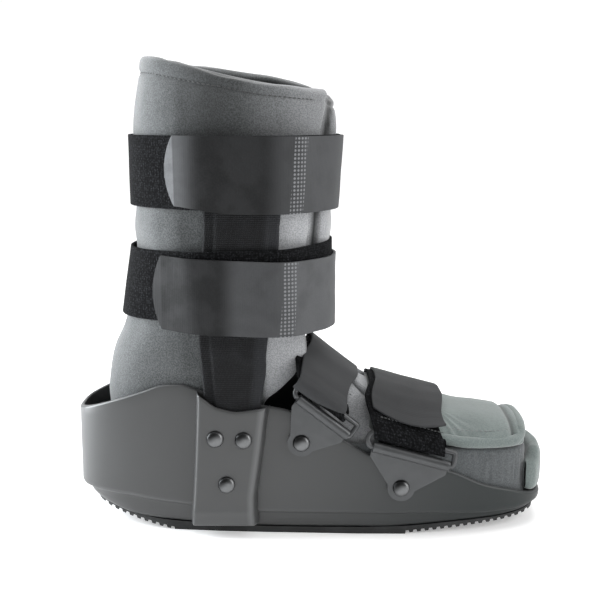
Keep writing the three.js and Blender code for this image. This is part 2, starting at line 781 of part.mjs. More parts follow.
const rollDepth = (strap) => bracketSeat(strap) + BRACKET_ROLL;
const barDepth = (strap) => rollDepth(strap) - RING_LEAN_IN;

function bracketRivet(strap) {
  const [x, , z] = strapFrame(strap)(0, 0, -BRACKET_DROP);
  return { x, z };
}

// A riveted plate: round at its rivet, as long as the strap at its rolled top edge.
function bracket(strap) {
  const half = strap.rollLength / 2;
  const shape = new THREE.Shape();
  shape.moveTo(-half, 0);
  shape.lineTo(-half, -BRACKET_ROLL * 2);
  shape.lineTo(-BRACKET_END * 0.95, -BRACKET_DROP - 2);
  shape.absarc(0, -BRACKET_DROP, BRACKET_END, Math.PI * 1.07, Math.PI * 1.93, false);
  shape.lineTo(BRACKET_END * 0.95, -BRACKET_DROP - 2);
  shape.lineTo(half, -BRACKET_ROLL * 2);
  shape.lineTo(half, 0);
  const plate = new THREE.ExtrudeGeometry(shape, {
    depth: BRACKET_THICKNESS,
    bevelEnabled: false,
    curveSegments: 10,
  });
  const roll = new THREE.CylinderGeometry(
    BRACKET_ROLL,
    BRACKET_ROLL,
    strap.rollLength,
    ROUND_SIDES,
  );
  roll.rotateZ(Math.PI / 2);
  roll.translate(0, 0, BRACKET_ROLL);
  const bore = new THREE.CylinderGeometry(
    RING_WIRE + 2 * GAP,
    RING_WIRE + 2 * GAP,
    strap.rollLength + 2,
    ROUND_SIDES,
  );
  bore.rotateZ(Math.PI / 2);
  bore.translate(0, 0, BRACKET_ROLL);
  // Local axes: s along the roll, h up, and the plate's outward side away from the shell.
  const seat = new THREE.Matrix4()
    .makeRotationY(radians(strap.slope))
    .setPosition(strap.rollX, -bracketSeat(strap), strap.rollZ)
    .multiply(new THREE.Matrix4().makeRotationX(Math.PI / 2));
  const parts = [plate, roll, bore].map((piece) => solidOf(piece.applyMatrix4(seat)));
  const place = bracketRivet(strap);
  const body = without(parts[0].add(parts[1]), [parts[2]]);
  const seatAt = bracketSeat(strap);
  return body.subtract(rivetHole(place.x, place.z, -1, seatAt - 1, seatAt + 3));
}

// A wire ring: its lower bar turns in the rolled edge, its upper bar holds the webbing.
function wireRing(strap) {
  const at = strapFrame(strap);
  const half = strap.rollLength / 2 + 1;
  const path = [];
  const bow = RING_RISE / 2;
  for (const end of [1, -1]) {
    for (let i = 0; i <= RING_BOW_STEPS; i += 1) {
      const angle = (Math.PI * i) / RING_BOW_STEPS;
      const s = end * (half + RING_OVERHANG * 0.9 * Math.sin(angle));
      path.push([s, bow - end * bow * Math.cos(angle)]);
    }
  }
  const depth = (h) => -mix(rollDepth(strap), barDepth(strap), h / RING_RISE);
  const spine = path.map(([s, h]) => new THREE.Vector3(...at(s, depth(h), h)));
  const middle = new THREE.Vector3(...at(0, depth(bow), bow));
  const across = new THREE.Vector3()
    .subVectors(spine[0], middle)
    .cross(new THREE.Vector3().subVectors(spine[RING_BOW_STEPS / 2], middle))
    .normalize();
  const rings = spine.map((point, i) => {
    const ahead = spine[(i + 1) % spine.length];
    const behind = spine[(i + spine.length - 1) % spine.length];
    const forward = new THREE.Vector3().subVectors(ahead, behind).normalize();
    const out = new THREE.Vector3().crossVectors(forward, across).normalize();
    return Array.from({ length: WIRE_SIDES }, (_, k) => {
      const angle = (2 * Math.PI * k) / WIRE_SIDES;
      return point
        .clone()
        .addScaledVector(out, RING_WIRE * Math.cos(angle))
        .addScaledVector(across, RING_WIRE * Math.sin(angle))
        .toArray();
    });
  });
  return loft(rings, { closed: true });
}

// A strip of even thickness between two edge lines. Each edge is a list of points, and each point
// has a direction that its thickness follows.
function ribbon(edges, thickness, closed = false) {
  const rings = edges.map(({ a, b, outA, outB }) => {
    const corner = (point, out, side) => point.map((v, i) => v + (side * thickness * out[i]) / 2);
    return [
      corner(a, outA, -1),
      corner(a, outA, 1),
      corner(b, outB, 1),
      corner(b, outB, -1),
    ];
  });
  return loft(rings, { closed });
}

// Padding under a foot strap: crown, edge and half width of the piece below it, in the strap's frame.
function beddingOf(strap, rows) {
  const slope = Math.tan(radians(strap.slope));
  const cos = Math.cos(radians(strap.slope));
  const arch = archAt(rows, strap.rollX);
  const local = (z) => (z - strap.rollZ) * cos;
  const places = rows.map((row) => placeAt(row.at));
  const crowns = places.map((x) => archAt(rows, x).crown - strap.rollZ + (x - strap.rollX) * slope);
  const within = places.map((x) => Math.abs(x - strap.rollX) < strap.rollLength / 2 + 12);
  const crown = Math.max(...crowns.filter((_, i) => within[i])) * cos;
  const half = Math.max(...places.map((x) => archAt(rows, x).half).filter((_, i) => within[i]));
  return { half, edge: local(arch.edge), crown };
}

// The middle line of a foot strap's webbing across the boot: a hook round the ring's upper bar, over
// the padding, and down the far side to its rivet on the shell.
function strapPath(strap, rows) {
  const { half, edge, crown } = beddingOf(strap, rows);
  const lift = strap.lift + WEBBING_THICKNESS / 2;
  const bar = barDepth(strap);
  const hook = RING_WIRE + GAP + WEBBING_THICKNESS / 2;
  const points = [[-bar + hook, RING_RISE + 2 * hook]];
  for (let i = 0; i < HOOK_POINTS; i += 1) {
    const angle = (-Math.PI * i) / (HOOK_POINTS - 1);
    points.push([-bar + hook * Math.cos(angle), RING_RISE + hook * Math.sin(angle)]);
  }
  points.push([-bar - hook, RING_RISE + hook]);
  const over = Array.from({ length: OVER_POINTS }, (_, i) => {
    const turn = mix(radians(168), radians(12), i / (OVER_POINTS - 1));
    const y = Math.cos(turn) * (half + lift);
    return [y, archHeight(y, half + lift, edge, crown + lift)];
  });
  points.push(...over.filter(([y, h]) => h > (y < 0 ? RING_RISE + 4 * hook : BRACKET_ROLL)));
  const wall = bracketSeat(strap) + GAP + WEBBING_THICKNESS / 2;
  points.push([wall, -BRACKET_ROLL], [wall, -strap.anchorDrop / 2], [wall, -strap.anchorDrop - 8]);
  return points;
}

// The middle line of the webbing as sections: places with the direction out of the line there.
function strapSections(strap, rows) {
  const points = strapPath(strap, rows).map(([y, h]) => new THREE.Vector3(y, h, 0));
  const curve = new THREE.CatmullRomCurve3(points, false, "centripetal");
  const sections = Array.from({ length: STRAP_STEPS + 1 }, (_, i) => {
    const point = curve.getPoint(i / STRAP_STEPS);
    const along = curve.getTangent(i / STRAP_STEPS);
    return { y: point.x, h: point.y, out: [-along.y, along.x] };
  });
  return { sections, hookEnd: Math.ceil((STRAP_STEPS * HOOK_POINTS) / (points.length - 1)) };
}

// A strip of a foot strap through some of its sections, raised over its middle line.
function footStrip(strap, rows, sections, { width, thickness, raise, shift }) {
  const at = strapFrame(strap);
  const origin = at(0, 0, 0);
  const { crown } = beddingOf(strap, rows);
  const edges = sections.map(({ y, h, out }) => {
    const [ry, rh] = [y + out[0] * raise, h + out[1] * raise];
    const lean = strap.lean * smooth(h, RING_RISE, crown) + shift;
    const direction = at(0, out[0], out[1]).map((v, i) => v - origin[i]);
    return {
      a: at(lean - width / 2, ry, rh),
      b: at(lean + width / 2, ry, rh),
      outA: direction,
      outB: direction,
    };
  });
  return ribbon(edges, thickness);
}

const anchorRivet = (strap) => {
  const [x, , z] = strapFrame(strap)(0, 0, -strap.anchorDrop);
  return { x, z, seat: bracketSeat(strap) + GAP + WEBBING_THICKNESS };
};

function webbing(strap, rows) {
  const size = { width: strap.webbingWidth, thickness: WEBBING_THICKNESS, raise: 0, shift: 0 };
  const strip = footStrip(strap, rows, strapSections(strap, rows).sections, size);
  const { x, z, seat } = anchorRivet(strap);
  return solidOf(strip).subtract(rivetHole(x, z, 1, seat - 4, seat + 2));
}

function footClosure(strap, rows) {
  const { sections, hookEnd } = strapSections(strap, rows);
  const first = sections.findIndex(({ h }, i) => i >= hookEnd && h >= strap.closureStart);
  const last = sections.findLastIndex(({ y, h }) => y > 0 && h >= strap.closureStart);
  return footStrip(strap, rows, sections.slice(first, last + 1), {
    width: strap.closureWidth,
    thickness: CLOSURE_THICKNESS,
    raise: (WEBBING_THICKNESS + CLOSURE_THICKNESS) / 2 + 1.5 * GAP,
    shift: -1,
  });
}

// Sides of the convex outline of points: the direction each side faces and how far out it lies.
function hullSides(points) {
  const sorted = [...points].sort((p, q) => p[0] - q[0] || p[1] - q[1]);
  const turn = (o, p, q) => (p[0] - o[0]) * (q[1] - o[1]) - (p[1] - o[1]) * (q[0] - o[0]);
  const half = (list) => {
    const chain = [];
    for (const point of list) {
      while (chain.length > 1 && turn(chain.at(-2), chain.at(-1), point) <= 1e-9) chain.pop();
      chain.push(point);
    }
    return chain.slice(0, -1);
  };
  const hull = [...half(sorted), ...half(sorted.reverse())];
  return hull.map((p, i) => {
    const q = hull[(i + 1) % hull.length];
    const facing = Math.atan2(p[0] - q[0], q[1] - p[1]);
    return { facing, reach: (p[0] - LEG_AXIS) * Math.cos(facing) + p[1] * Math.sin(facing) };
  });
}

// Outline that a leg strap lies on at a height: the leg wrap with both uprights and their soft edges.
function strapBed(z) {
  const points = Array.from({ length: BED_POINTS }, (_, i) => {
    const angle = (2 * Math.PI * i) / BED_POINTS;
    const [x] = legPoint(angle, z, 0);
    return legPoint(angle, unslanted(x, z), 0);
  });
  const { rear, front, inner } = uprightAt(Math.min(z, UPRIGHT_TOP));
  for (const side of [-1, 1]) {
    points.push([rear - STRAP_EASE, side * (inner + UPRIGHT_THICKNESS)]);
    points.push([front + STRAP_EASE, side * (inner + UPRIGHT_THICKNESS)]);
  }
  return hullSides(points);
}

// Distance from the leg's axis to the bed's outline in a direction.
function bedReach(sides, angle) {
  let least = Infinity;
  for (const { facing, reach } of sides) {
    const cos = Math.cos(angle - facing);
    if (cos > 0.05) least = Math.min(least, reach / cos);
  }
  return least;
}

// The straight line across a band's width at an angle from the front, by way of the near side for
// positive angles: it touches the bed at its edges or bulges clear of what lies between them.
function bandLine(strap, turn) {
  const middle = LEG_TOP * mix(strap.bandFront, strap.back, (1 - Math.cos(turn)) / 2);
  const heights = [-0.5, -0.25, 0, 0.25, 0.5].map((share) => middle + share * BAND_WIDTH);
  const reaches = heights.map((z) => bedReach(strapBed(z), -turn));
  const high = reaches[4];
  const low = reaches[0] + strap.straight * Math.max(0, high - reaches[0]);
  const bulge = Math.max(...reaches.map((reach, i) => reach - mix(low, high, i / 4)));
  const slope = (high - low) / BAND_WIDTH;
  return { middle, at: (z) => (low + high) / 2 + bulge + slope * (z - middle) };
}

// The two edges of a leg strap at an angle, raised over its bed; a share of its width narrows it.
function legStrapEdge(strap, turn, shift, raise, narrowing = 1) {
  const nearby = [-0.04, 0, 0.04].map((step) => ({ a: turn + step, line: bandLine(strap, turn + step) }));
  const middle = nearby[1].line.middle + shift;
  const edge = (z) => {
    const [before, at, after] = nearby.map(({ a, line }) => {
      const reach = line.at(z);
      return [LEG_AXIS + reach * Math.cos(a), -reach * Math.sin(a)];
    });
    const out = new THREE.Vector2(before[1] - after[1], after[0] - before[0]).normalize();
    return { point: [at[0] + out.x * raise, at[1] + out.y * raise, z], out: [out.x, out.y, 0] };
  };
  const low = edge(middle - (BAND_WIDTH / 2) * narrowing);
  const high = edge(middle + (BAND_WIDTH / 2) * narrowing);
  return { a: low.point, b: high.point, outA: low.out, outB: high.out };
}

function legBand(strap) {
  const raise = 2 * GAP + BAND_THICKNESS / 2;
  const edges = Array.from({ length: BAND_STEPS }, (_, i) =>
    legStrapEdge(strap, (2 * Math.PI * i) / BAND_STEPS, 0, raise),
  );
  return ribbon(edges, BAND_THICKNESS, true);
}

// The closure: from its rounded tab on the near side round the front to the far side.
function legClosure(strap) {
  const raise = 4.5 * GAP + BAND_THICKNESS + CLOSURE_THICKNESS / 2;
  const radius = (BAND_WIDTH ** 2 / 4 + TAB_ARC ** 2) / (2 * TAB_ARC);
  const arcTurn = TAB_ARC / LEG_SIDE;
  const tab = radians(strap.tab);
  const rise = (turn) => mix(strap.closureFront, strap.closureBack, (1 - Math.cos(turn)) / 2);
  const shiftAt = (turn) => BAND_WIDTH * rise(turn);
  const edges = [0.02, 0.12, 0.35, 0.65, 1].map((share) => {
    const sunk = share * TAB_ARC;
    const chord = 2 * Math.sqrt(2 * radius * sunk - sunk ** 2);
    const turn = tab - share * arcTurn;
    return legStrapEdge(strap, turn, shiftAt(turn), raise, chord / BAND_WIDTH);
  });
  const step = (2 * Math.PI) / BAND_STEPS;
  const first = Math.floor((tab - arcTurn) / step - 0.3);
  for (let i = first; i * step >= radians(strap.end); i -= 1) {
    edges.push(legStrapEdge(strap, i * step, shiftAt(i * step), raise));
  }
  return ribbon(edges, CLOSURE_THICKNESS);
}

// Tread: ribs behind and before the flat platform.
function outsole() {
  const back = -SHELL_BACK + HEEL_TREAD_INSET;
  const front = placeAt(1) - OUTSOLE_INSET;
  const inset = (x) => mix(HEEL_TREAD_INSET, OUTSOLE_INSET, smooth(x, back, -PLATFORM_BACK));
  const bottom = (x) => {
    if (x < -PLATFORM_BACK) {
      const share = (-PLATFORM_BACK - x) / (-PLATFORM_BACK - back);
      return SHELL_HEIGHT * follow(HEEL_TREAD_LINE, "share", share);
    }
    if (x > PLATFORM_FRONT) {
      const share = (x - PLATFORM_FRONT) / (front - PLATFORM_FRONT);
      return SHELL_HEIGHT * follow(TOE_TREAD_LINE, "share", share);
    }
    return 0;
  };
  const stations = [];
  const ribs = (from, to, pitch) => {
    const count = Math.floor(Math.abs(to - from) / pitch);
    const step = (to - from) / count;
    for (let i = 0; i < count; i += 1) {
      const start = from + i * step;
      stations.push({ x: start + step * 0.05, rise: TREAD_DEPTH });
      stations.push({ x: start + step * 0.42, rise: TREAD_DEPTH });
      stations.push({ x: start + step * 0.52, rise: 0 });
      stations.push({ x: start + step * 0.95, rise: 0 });
    }
  };
  ribs(-PLATFORM_BACK, back + 4, HEEL_RIB_PITCH);
  ribs(PLATFORM_FRONT, front - 3, TOE_RIB_PITCH);
  for (const share of [0, 0.2, 0.4, 0.6, 0.8, 1]) {
    stations.push({ x: mix(-PLATFORM_BACK, PLATFORM_FRONT, share), rise: 0 });
  }
  for (const nip of [0.15, 1, 2.2]) {
    stations.push({ x: back + nip, rise: 0 }, { x: front - nip, rise: 0 });
  }
  stations.sort((p, q) => p.x - q.x);
  const rings = stations.map(({ x, rise }) => {
    const half = halfWidthAt(x, inset(x));
    const top = undersideAt(x) - 1.5 * GAP;
    const foot = Math.min(bottom(x) + rise, top - OUTSOLE_LEAST * 0.6);
    return [
      [x, -half, foot],
      [x, half, foot],
      [x, half, top],
      [x, -half, top],
    ];
  });
  return loft(rings);
}

function shell() {
  const sides = [-1, 1];
  const body = joined([solidOf(shellOuter()), ...sides.map(pocket)]);
  const cuts = [solidOf(shellCavity()), ...sides.map((side) => upright(side, GAP))];
  for (const side of sides) {
    for (const { x, z } of pocketRivets) {
      cuts.push(rivetHole(x, z, side, SHELL_WIDTH / 4, POCKET_OUTER + 1));
    }
  }
  for (const strap of Object.values(FOOT_STRAPS)) {
    const near = bracketRivet(strap);
    const far = anchorRivet(strap);
    cuts.push(rivetHole(near.x, near.z, -1, SHELL_WIDTH / 4, SHELL_WIDTH));
    cuts.push(rivetHole(far.x, far.z, 1, SHELL_WIDTH / 4, SHELL_WIDTH));
  }
  return without(body, cuts);
}

const boot = new THREE.Group();

function add(name, shape, colour, roughness, metalness = 0) {
  const geometry = shape.isBufferGeometry ? shape : geometryOf(shape);
  const material = new THREE.MeshStandardMaterial({ color: colour, roughness, metalness });
  const mesh = new THREE.Mesh(geometry, material);
  mesh.name = name;
  boot.add(mesh);
}

add("shell", shell(), COLOURS.shell, 0.5);
add("outsole", outsole(), COLOURS.rubber, 0.85);
add("liner_leg", linerLeg(), COLOURS.liner, 0.95);
add("liner_foot", linerFoot(), COLOURS.liner, 0.95);
add("toe_bumper", toeBumper(), COLOURS.flap, 0.95);
add("instep_pad", upperPiece(INSTEP_SECTIONS), COLOURS.liner, 0.95);
add("toe_flap", upperPiece(TOE_FLAP_SECTIONS), COLOURS.flap, 0.95);

for (const [label, side] of [
  ["near", -1],
  ["far", 1],
]) {
  const reach = [UPRIGHT_INNER - 1, UPRIGHT_INNER + UPRIGHT_THICKNESS + 1];
  const holes = pocketRivets.map(({ x, z }) => rivetHole(x, z, side, ...reach));
  add(`upright_${label}`, without(upright(side), holes), COLOURS.webbing, 0.9);
  for (const { name, x, z } of pocketRivets) {
    const grip = POCKET_OUTER + GAP - UPRIGHT_INNER + SHELL_WALL;
    const pin = rivet(x, POCKET_OUTER + GAP, z, side, grip);
    add(`rivet_${label}_${name}`, pin, COLOURS.bracket, 0.4, 0.6);
  }
}

for (const strap of LEG_STRAPS) {
  add(`strap_${strap.name}_band`, legBand(strap), COLOURS.webbing, 0.95);
  add(`strap_${strap.name}_closure`, legClosure(strap), COLOURS.closure, 0.6);
}

const BEDDING = { instep: INSTEP_SECTIONS, forefoot: TOE_FLAP_SECTIONS };
for (const [name, strap] of Object.entries(FOOT_STRAPS)) {
  add(`${name}_webbing`, webbing(strap, BEDDING[name]), COLOURS.webbing, 0.95);
  add(`${name}_closure`, footClosure(strap, BEDDING[name]), COLOURS.closure, 0.6);
  add(`${name}_bracket`, bracket(strap), COLOURS.bracket, 0.35, 0.7);
  add(`${name}_ring`, wireRing(strap), COLOURS.wire, 0.3, 0.9);
  const near = bracketRivet(strap);
  const far = anchorRivet(strap);
  const plateTop = bracketSeat(strap) + BRACKET_THICKNESS + GAP;
  const nearGrip = plateTop - bracketSeat(strap) + SHELL_WALL;
  const farGrip = WEBBING_THICKNESS + 2 * GAP + SHELL_WALL;
  add(`rivet_${name}_near`, rivet(near.x, plateTop, near.z, -1, nearGrip), COLOURS.bracket, 0.4, 0.6);
  add(`rivet_${name}_far`, rivet(far.x, far.seat + GAP, far.z, 1, farGrip), COLOURS.bracket, 0.4, 0.6);
}

export default boot;
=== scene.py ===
"""Looks of a medical walking boot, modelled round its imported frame. Shapes are worked out in millimetres."""

import json
import math
from functools import lru_cache

import bmesh
import bpy
import numpy as np
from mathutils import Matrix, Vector, noise
from mathutils.bvhtree import BVHTree

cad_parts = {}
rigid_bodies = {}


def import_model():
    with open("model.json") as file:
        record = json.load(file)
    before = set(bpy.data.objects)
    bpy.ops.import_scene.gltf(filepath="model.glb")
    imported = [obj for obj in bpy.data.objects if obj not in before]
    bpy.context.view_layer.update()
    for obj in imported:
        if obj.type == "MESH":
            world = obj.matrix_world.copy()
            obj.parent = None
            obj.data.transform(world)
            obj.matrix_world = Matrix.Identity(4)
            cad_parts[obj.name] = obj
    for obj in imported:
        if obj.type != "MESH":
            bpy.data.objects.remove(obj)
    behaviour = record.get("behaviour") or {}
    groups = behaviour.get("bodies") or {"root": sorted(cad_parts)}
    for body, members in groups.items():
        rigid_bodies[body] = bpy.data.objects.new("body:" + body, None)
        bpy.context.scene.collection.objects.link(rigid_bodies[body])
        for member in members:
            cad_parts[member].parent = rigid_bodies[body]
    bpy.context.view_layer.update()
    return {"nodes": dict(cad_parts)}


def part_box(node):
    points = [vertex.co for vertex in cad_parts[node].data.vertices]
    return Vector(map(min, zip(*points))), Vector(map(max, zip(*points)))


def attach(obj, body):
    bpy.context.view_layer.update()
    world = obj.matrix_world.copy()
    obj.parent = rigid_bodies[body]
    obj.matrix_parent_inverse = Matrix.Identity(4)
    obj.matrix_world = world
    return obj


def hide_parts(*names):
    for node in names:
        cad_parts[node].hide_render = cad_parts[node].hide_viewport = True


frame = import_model()

bl_info = {
    "name": "Medical Walking Boot",
    "version": (1, 0, 0),
    "blender": (4, 5, 0),
    "location": "View3D > Sidebar > Boot",
    "description": "Makes the pieces of a medical walking boot with their finishes",
    "category": "Object",
}

MM = 0.001
GAP = 0.3

# Camera: its place, its pitch below the horizon and its lens, for a square picture.
CAMERA_PLACE = (38.4, -710.0, 275.0)
CAMERA_PITCH = math.radians(10.18)
CAMERA_LENS = 62.7
SENSOR = 36.0

# Shell
SHELL_BACK = -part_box("shell")[0].x / MM
SHELL_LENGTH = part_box("shell")[1].x / MM + SHELL_BACK
SHELL_WIDTH = 110.0
SHELL_HEIGHT = 101.0
SHELL_WALL = 3.0
SHELL_FLOOR_TOP = 15.0
BAND_INSET = 2.6
UNDERSIDE_INSET = 5.2
HEEL_CHAMFER = 4.0
HEEL_SQUARENESS = 3.0
TOE_SQUARENESS = 3.1
UPRIGHT_ROOM = 50.3
RIM_LINE = [
    (0.0, 0.772), (0.047, 0.825), (0.109, 0.895), (0.149, 0.942), (0.197, 0.994), (0.234, 1.0),
    (0.269, 0.968), (0.335, 0.911), (0.407, 0.872), (0.454, 0.845), (0.571, 0.644), (0.618, 0.559),
    (0.675, 0.505), (0.785, 0.436), (0.86, 0.329), (0.92, 0.272), (0.983, 0.208), (1.0, 0.2),
]
CREASE_LINE = [
    (0.0, 0.25), (0.115, 0.238), (0.175, 0.216), (0.234, 0.2), (0.395, 0.161), (0.715, 0.161),
    (0.857, 0.138), (0.926, 0.135), (1.0, 0.158),
]
UNDERSIDE_LINE = [
    (0.0, 0.19), (0.047, 0.146), (0.124, 0.092), (0.175, 0.072), (0.256, 0.06), (0.435, 0.045),
    (0.646, 0.052), (0.822, 0.08), (0.898, 0.088), (0.957, 0.103), (1.0, 0.13),
]
WIDTH_LINE = [
    (0.0, 0.87), (0.25, 0.9), (0.407, 0.93), (0.57, 0.97), (0.68, 1.0), (0.8, 0.99), (1.0, 0.96),
]

# Pockets on the shell: lip beyond the upright's edges by height, and the scoop of the top by width.
POCKET_TOP = 97.3
POCKET_FOOT = 8.0
POCKET_FACE = 58.9
POCKET_LIP = 2.6
POCKET_REAR_LIP = [(0.08, 2.6), (0.18, 2.4), (0.3, 2.0), (1.0, 1.1)]
POCKET_FRONT_LIP = [(0.08, 1.25), (0.18, 1.0), (1.0, 1.0)]
POCKET_SCOOP = [
    (0.0, 0.0), (0.1, 4.1), (0.25, 8.2), (0.4, 9.9), (0.57, 11.2), (0.76, 10.5), (0.92, 9.5), (1.0, 8.8),
]

# Uprights: rear and front edge as shares of the width, by height as a share of the top.
UPRIGHT_WIDTH = 48.0
UPRIGHT_FOOT = 30.0
UPRIGHT_TOP = 259.0
UPRIGHT_INNER = 50.6
UPRIGHT_REAR = [
    (0.115, -0.54), (0.23, -0.53), (0.35, -0.52), (0.42, -0.54), (0.51, -0.575), (0.64, -0.53),
    (0.78, -0.49), (1.0, -0.46),
]
UPRIGHT_FRONT = [
    (0.115, 0.08), (0.23, 0.17), (0.35, 0.25), (0.42, 0.31), (0.51, 0.345), (0.64, 0.43), (0.78, 0.505),
    (1.0, 0.54),
]

# Leg wrap: reaches of its sections behind, in front and to the side as shares, by height as a share
# of the top, the near flap's edge, and how far the far flap goes round the front.
LEG_AXIS = -6.0
LEG_TOP = 312.0
LEG_FOOT = 27.0
LEG_SLANT = 25.0
LEG_SLANT_FROM = 200.0
LEG_BACK = 96.0
LEG_FRONT = 61.0
LEG_SIDE = 57.0
LEG_SQUARENESS = 2.3
LEG_WALL = 8.0
FLAP_TUCK = math.radians(24)
# Swells and hollows of the wrap: height, width and rise.
LEG_SWELLS = [(282, 14, 0.9), (201, 9, 1.3), (120, 12, 1.0), (238, 16, -1.1), (165, 16, -1.1)]
HEM_DEPTHS = [
    (-66.0, 11.0), (-37.0, 10.7), (-24.0, 10.2), (-11.0, 9.0), (15.0, 8.5), (28.0, 7.5), (41.0, 6.6),
]
LEG_SECTIONS = [
    (0.087, 0.83, 0.82, 0.67, 0.13, -1), (0.144, 0.93, 0.88, 0.73, 0.16, -1),
    (0.224, 0.98, 0.95, 0.765, 0.2, -1), (0.282, 1.0, 0.98, 0.78, 0.27, -1),
    (0.308, 0.992, 0.98, 0.8, 0.43, -1), (0.343, 0.97, 0.94, 0.825, 0.58, -1),
    (0.381, 0.93, 0.87, 0.85, 0.66, -1), (0.42, 0.88, 0.77, 0.875, 0.655, -0.6),
    (0.481, 0.835, 0.82, 0.905, 0.67, 0.2), (0.545, 0.8, 0.88, 0.93, 0.685, 0.85),
    (0.615, 0.77, 0.92, 0.953, 0.7, 1), (0.683, 0.766, 0.94, 0.97, 0.73, 1),
    (0.77, 0.77, 0.972, 0.99, 0.77, 1), (0.843, 0.768, 0.988, 1.0, 0.81, 1),
    (0.917, 0.739, 1.0, 1.0, 0.85, 1), (0.975, 0.71, 0.98, 0.985, 0.88, 1),
    (1.0, 0.7, 0.95, 0.97, 0.885, 1),
]
# How far the wrap's top lies above or below its even slant, on the near and on the far side.
NEAR_RIM = [
    (-66.0, -0.4), (-37.0, -2.3), (-24.0, -2.3), (-11.0, -1.9), (2.0, -1.0), (15.0, 0.1), (28.0, 1.1),
    (41.0, 1.6), (53.0, 2.4),
]
FAR_RIM = [
    (-66.0, -0.4), (-43.0, -0.3), (-26.0, 1.9), (-8.0, 4.4), (18.0, 7.3), (38.0, 6.1), (49.0, 3.4),
    (60.0, -5.0),
]
LEG_LINES = {
    name: [(row[0], row[k + 1]) for row in LEG_SECTIONS]
    for k, name in enumerate(("back", "front", "side", "edge", "tuck"))
}

# Foot liner: the tray with its side walls, the toe roll and the two arched covers
TRAY_BACK = 97.0
TRAY_FRONT = 190.4
TRAY_WALL = 6.0
TRAY_HEIGHT = 66.0
TRAY_FRONT_SQUARENESS = 14.0
TRAY_LINE = [(0.0, 0.4), (0.41, 0.4), (0.47, 0.93), (0.6, 0.94), (0.78, 0.89), (0.94, 0.845), (1.0, 0.845)]
FOOTBED_TOP = 25.0
CAVITY_SLOPE_RISE = 5.0
TOE_ROLL_THICKNESS = 10.0
TOE_ROLL_OVERHANG = 0.4
TOE_ROLL_TOP = 51.5
TOE_ROLL_SQUARENESS = 2.7
VAMP_SQUARENESS = 2.3
VAMP_WALL = 6.0

# Leg straps: middle heights of the band at the back and front, how far the closure lies above it
# there, its first and last angle from the front in degrees, and how far its lower edge rises by the tab.
STRAP_WIDTH = 47.5
BAND_THICKNESS = 2.0
CLOSURE_THICKNESS = 1.6
TAB_ARC = 6.5
LEG_STRAPS = {
    "upper": dict(back=237.7, front=237.7, shift_back=0.3, shift_front=-0.6, tab=127, end=-95, rising=4.2),
    "lower": dict(back=164.7, front=168.5, shift_back=-1.2, shift_front=-10.0, tab=138, end=-95, rising=0.0),
}

# Foot straps: middle of the bracket's rolled edge, slope in degrees, lengths and widths.
WEBBING_THICKNESS = 2.2
RING_WIRE = 1.8
RING_RISE = 9.0
RING_OVERHANG = 4.5
RING_LEAN_IN = 1.5
BRACKET_ROLL = 3.6
BRACKET_THICKNESS = 1.5
BRACKET_DROP = 23.0
BRACKET_END = 9.0
# Foot straps: the roll's place and slope, widths, and how each closure starts, leans and is pulled aside.
FOOT_STRAPS = {
    "instep": dict(
        x=52.0, z=82.6, slope=37.7, roll=40.0, webbing=37.0, closure=40.0, lean=-10.0, lift=2.4,
        start=4.6, smile=1.0, flare=0.3, drop=26.0, slew=-8.4, over=0.0, taper=2.6, slant=5.0, pull=-10.5,
        front=0.1, bed="instep_pad",
    ),
    "forefoot": dict(
        x=109.0, z=56.5, slope=14.9, roll=51.0, webbing=47.5, closure=47.5, lean=-9.0, lift=1.2,
        start=14.0, smile=6.0, flare=4.0, drop=20.0, slew=-0.5, over=4.0, taper=0.0, slant=0.0, pull=-4.5,
        front=0.3, bed="toe_flap",
    ),
}


def mix(low, high, share):
    return low + (high - low) * share


def clamp(value, low=0.0, high=1.0):
    return max(low, min(high, value))


def smooth(value, low, high):
    """Rises from 0 at low to 1 at high, which may also be the lower number."""
    share = clamp((value - low) / (high - low))
    return share * share * (3 - 2 * share)


def smooth_all(values, low, high):
    """The smooth step of a whole array."""
    share = np.clip((values - low) / (high - low), 0, 1)
    return share * share * (3 - 2 * share)


def follow(rows, place):
    """The value at a place between a table's rows, on a smooth line without overshoot."""
    if place <= rows[0][0]:
        return rows[0][1]
    if place >= rows[-1][0]:
        return rows[-1][1]
    i = next(k for k, row in enumerate(rows) if row[0] > place) - 1

    def secant(k):
        return (rows[k + 1][1] - rows[k][1]) / (rows[k + 1][0] - rows[k][0])

    def slope(k):
        if k == 0:
            return secant(0)
        if k == len(rows) - 1:
            return secant(k - 1)
        before, after = secant(k - 1), secant(k)
        return 0 if before * after <= 0 else 2 * before * after / (before + after)

    step = rows[i + 1][0] - rows[i][0]
    t = (place - rows[i][0]) / step
    rise = t * t * (3 - 2 * t)
    bend = step * t * (1 - t) * ((1 - t) * slope(i) - t * slope(i + 1))
    return mix(rows[i][1], rows[i + 1][1], rise) + bend


def share_at(x):
    return (x + SHELL_BACK) / SHELL_LENGTH


def rim_at(x):
    return SHELL_HEIGHT * follow(RIM_LINE, share_at(x))


def crease_at(x):
    return SHELL_HEIGHT * follow(CREASE_LINE, share_at(x))


def underside_at(x):
    return SHELL_HEIGHT * follow(UNDERSIDE_LINE, share_at(x))


def half_width(x, inset=0.0):
    """Half the width of the shell's plan at x, drawn in by an inset."""
    full = SHELL_WIDTH / 2 * follow(WIDTH_LINE, share_at(x))
    share = clamp((x + SHELL_BACK - inset) / (SHELL_LENGTH - 2 * inset))
    power = HEEL_SQUARENESS if share < 0.5 else TOE_SQUARENESS
    return (full - inset) * (1 - abs(2 * share - 1) ** power) ** (1 / power)


@lru_cache(None)
def leg_at(column, z):
    return follow(LEG_LINES[column], z / LEG_TOP)


def signed_power(value, power):
    return math.copysign(abs(value) ** power, value)


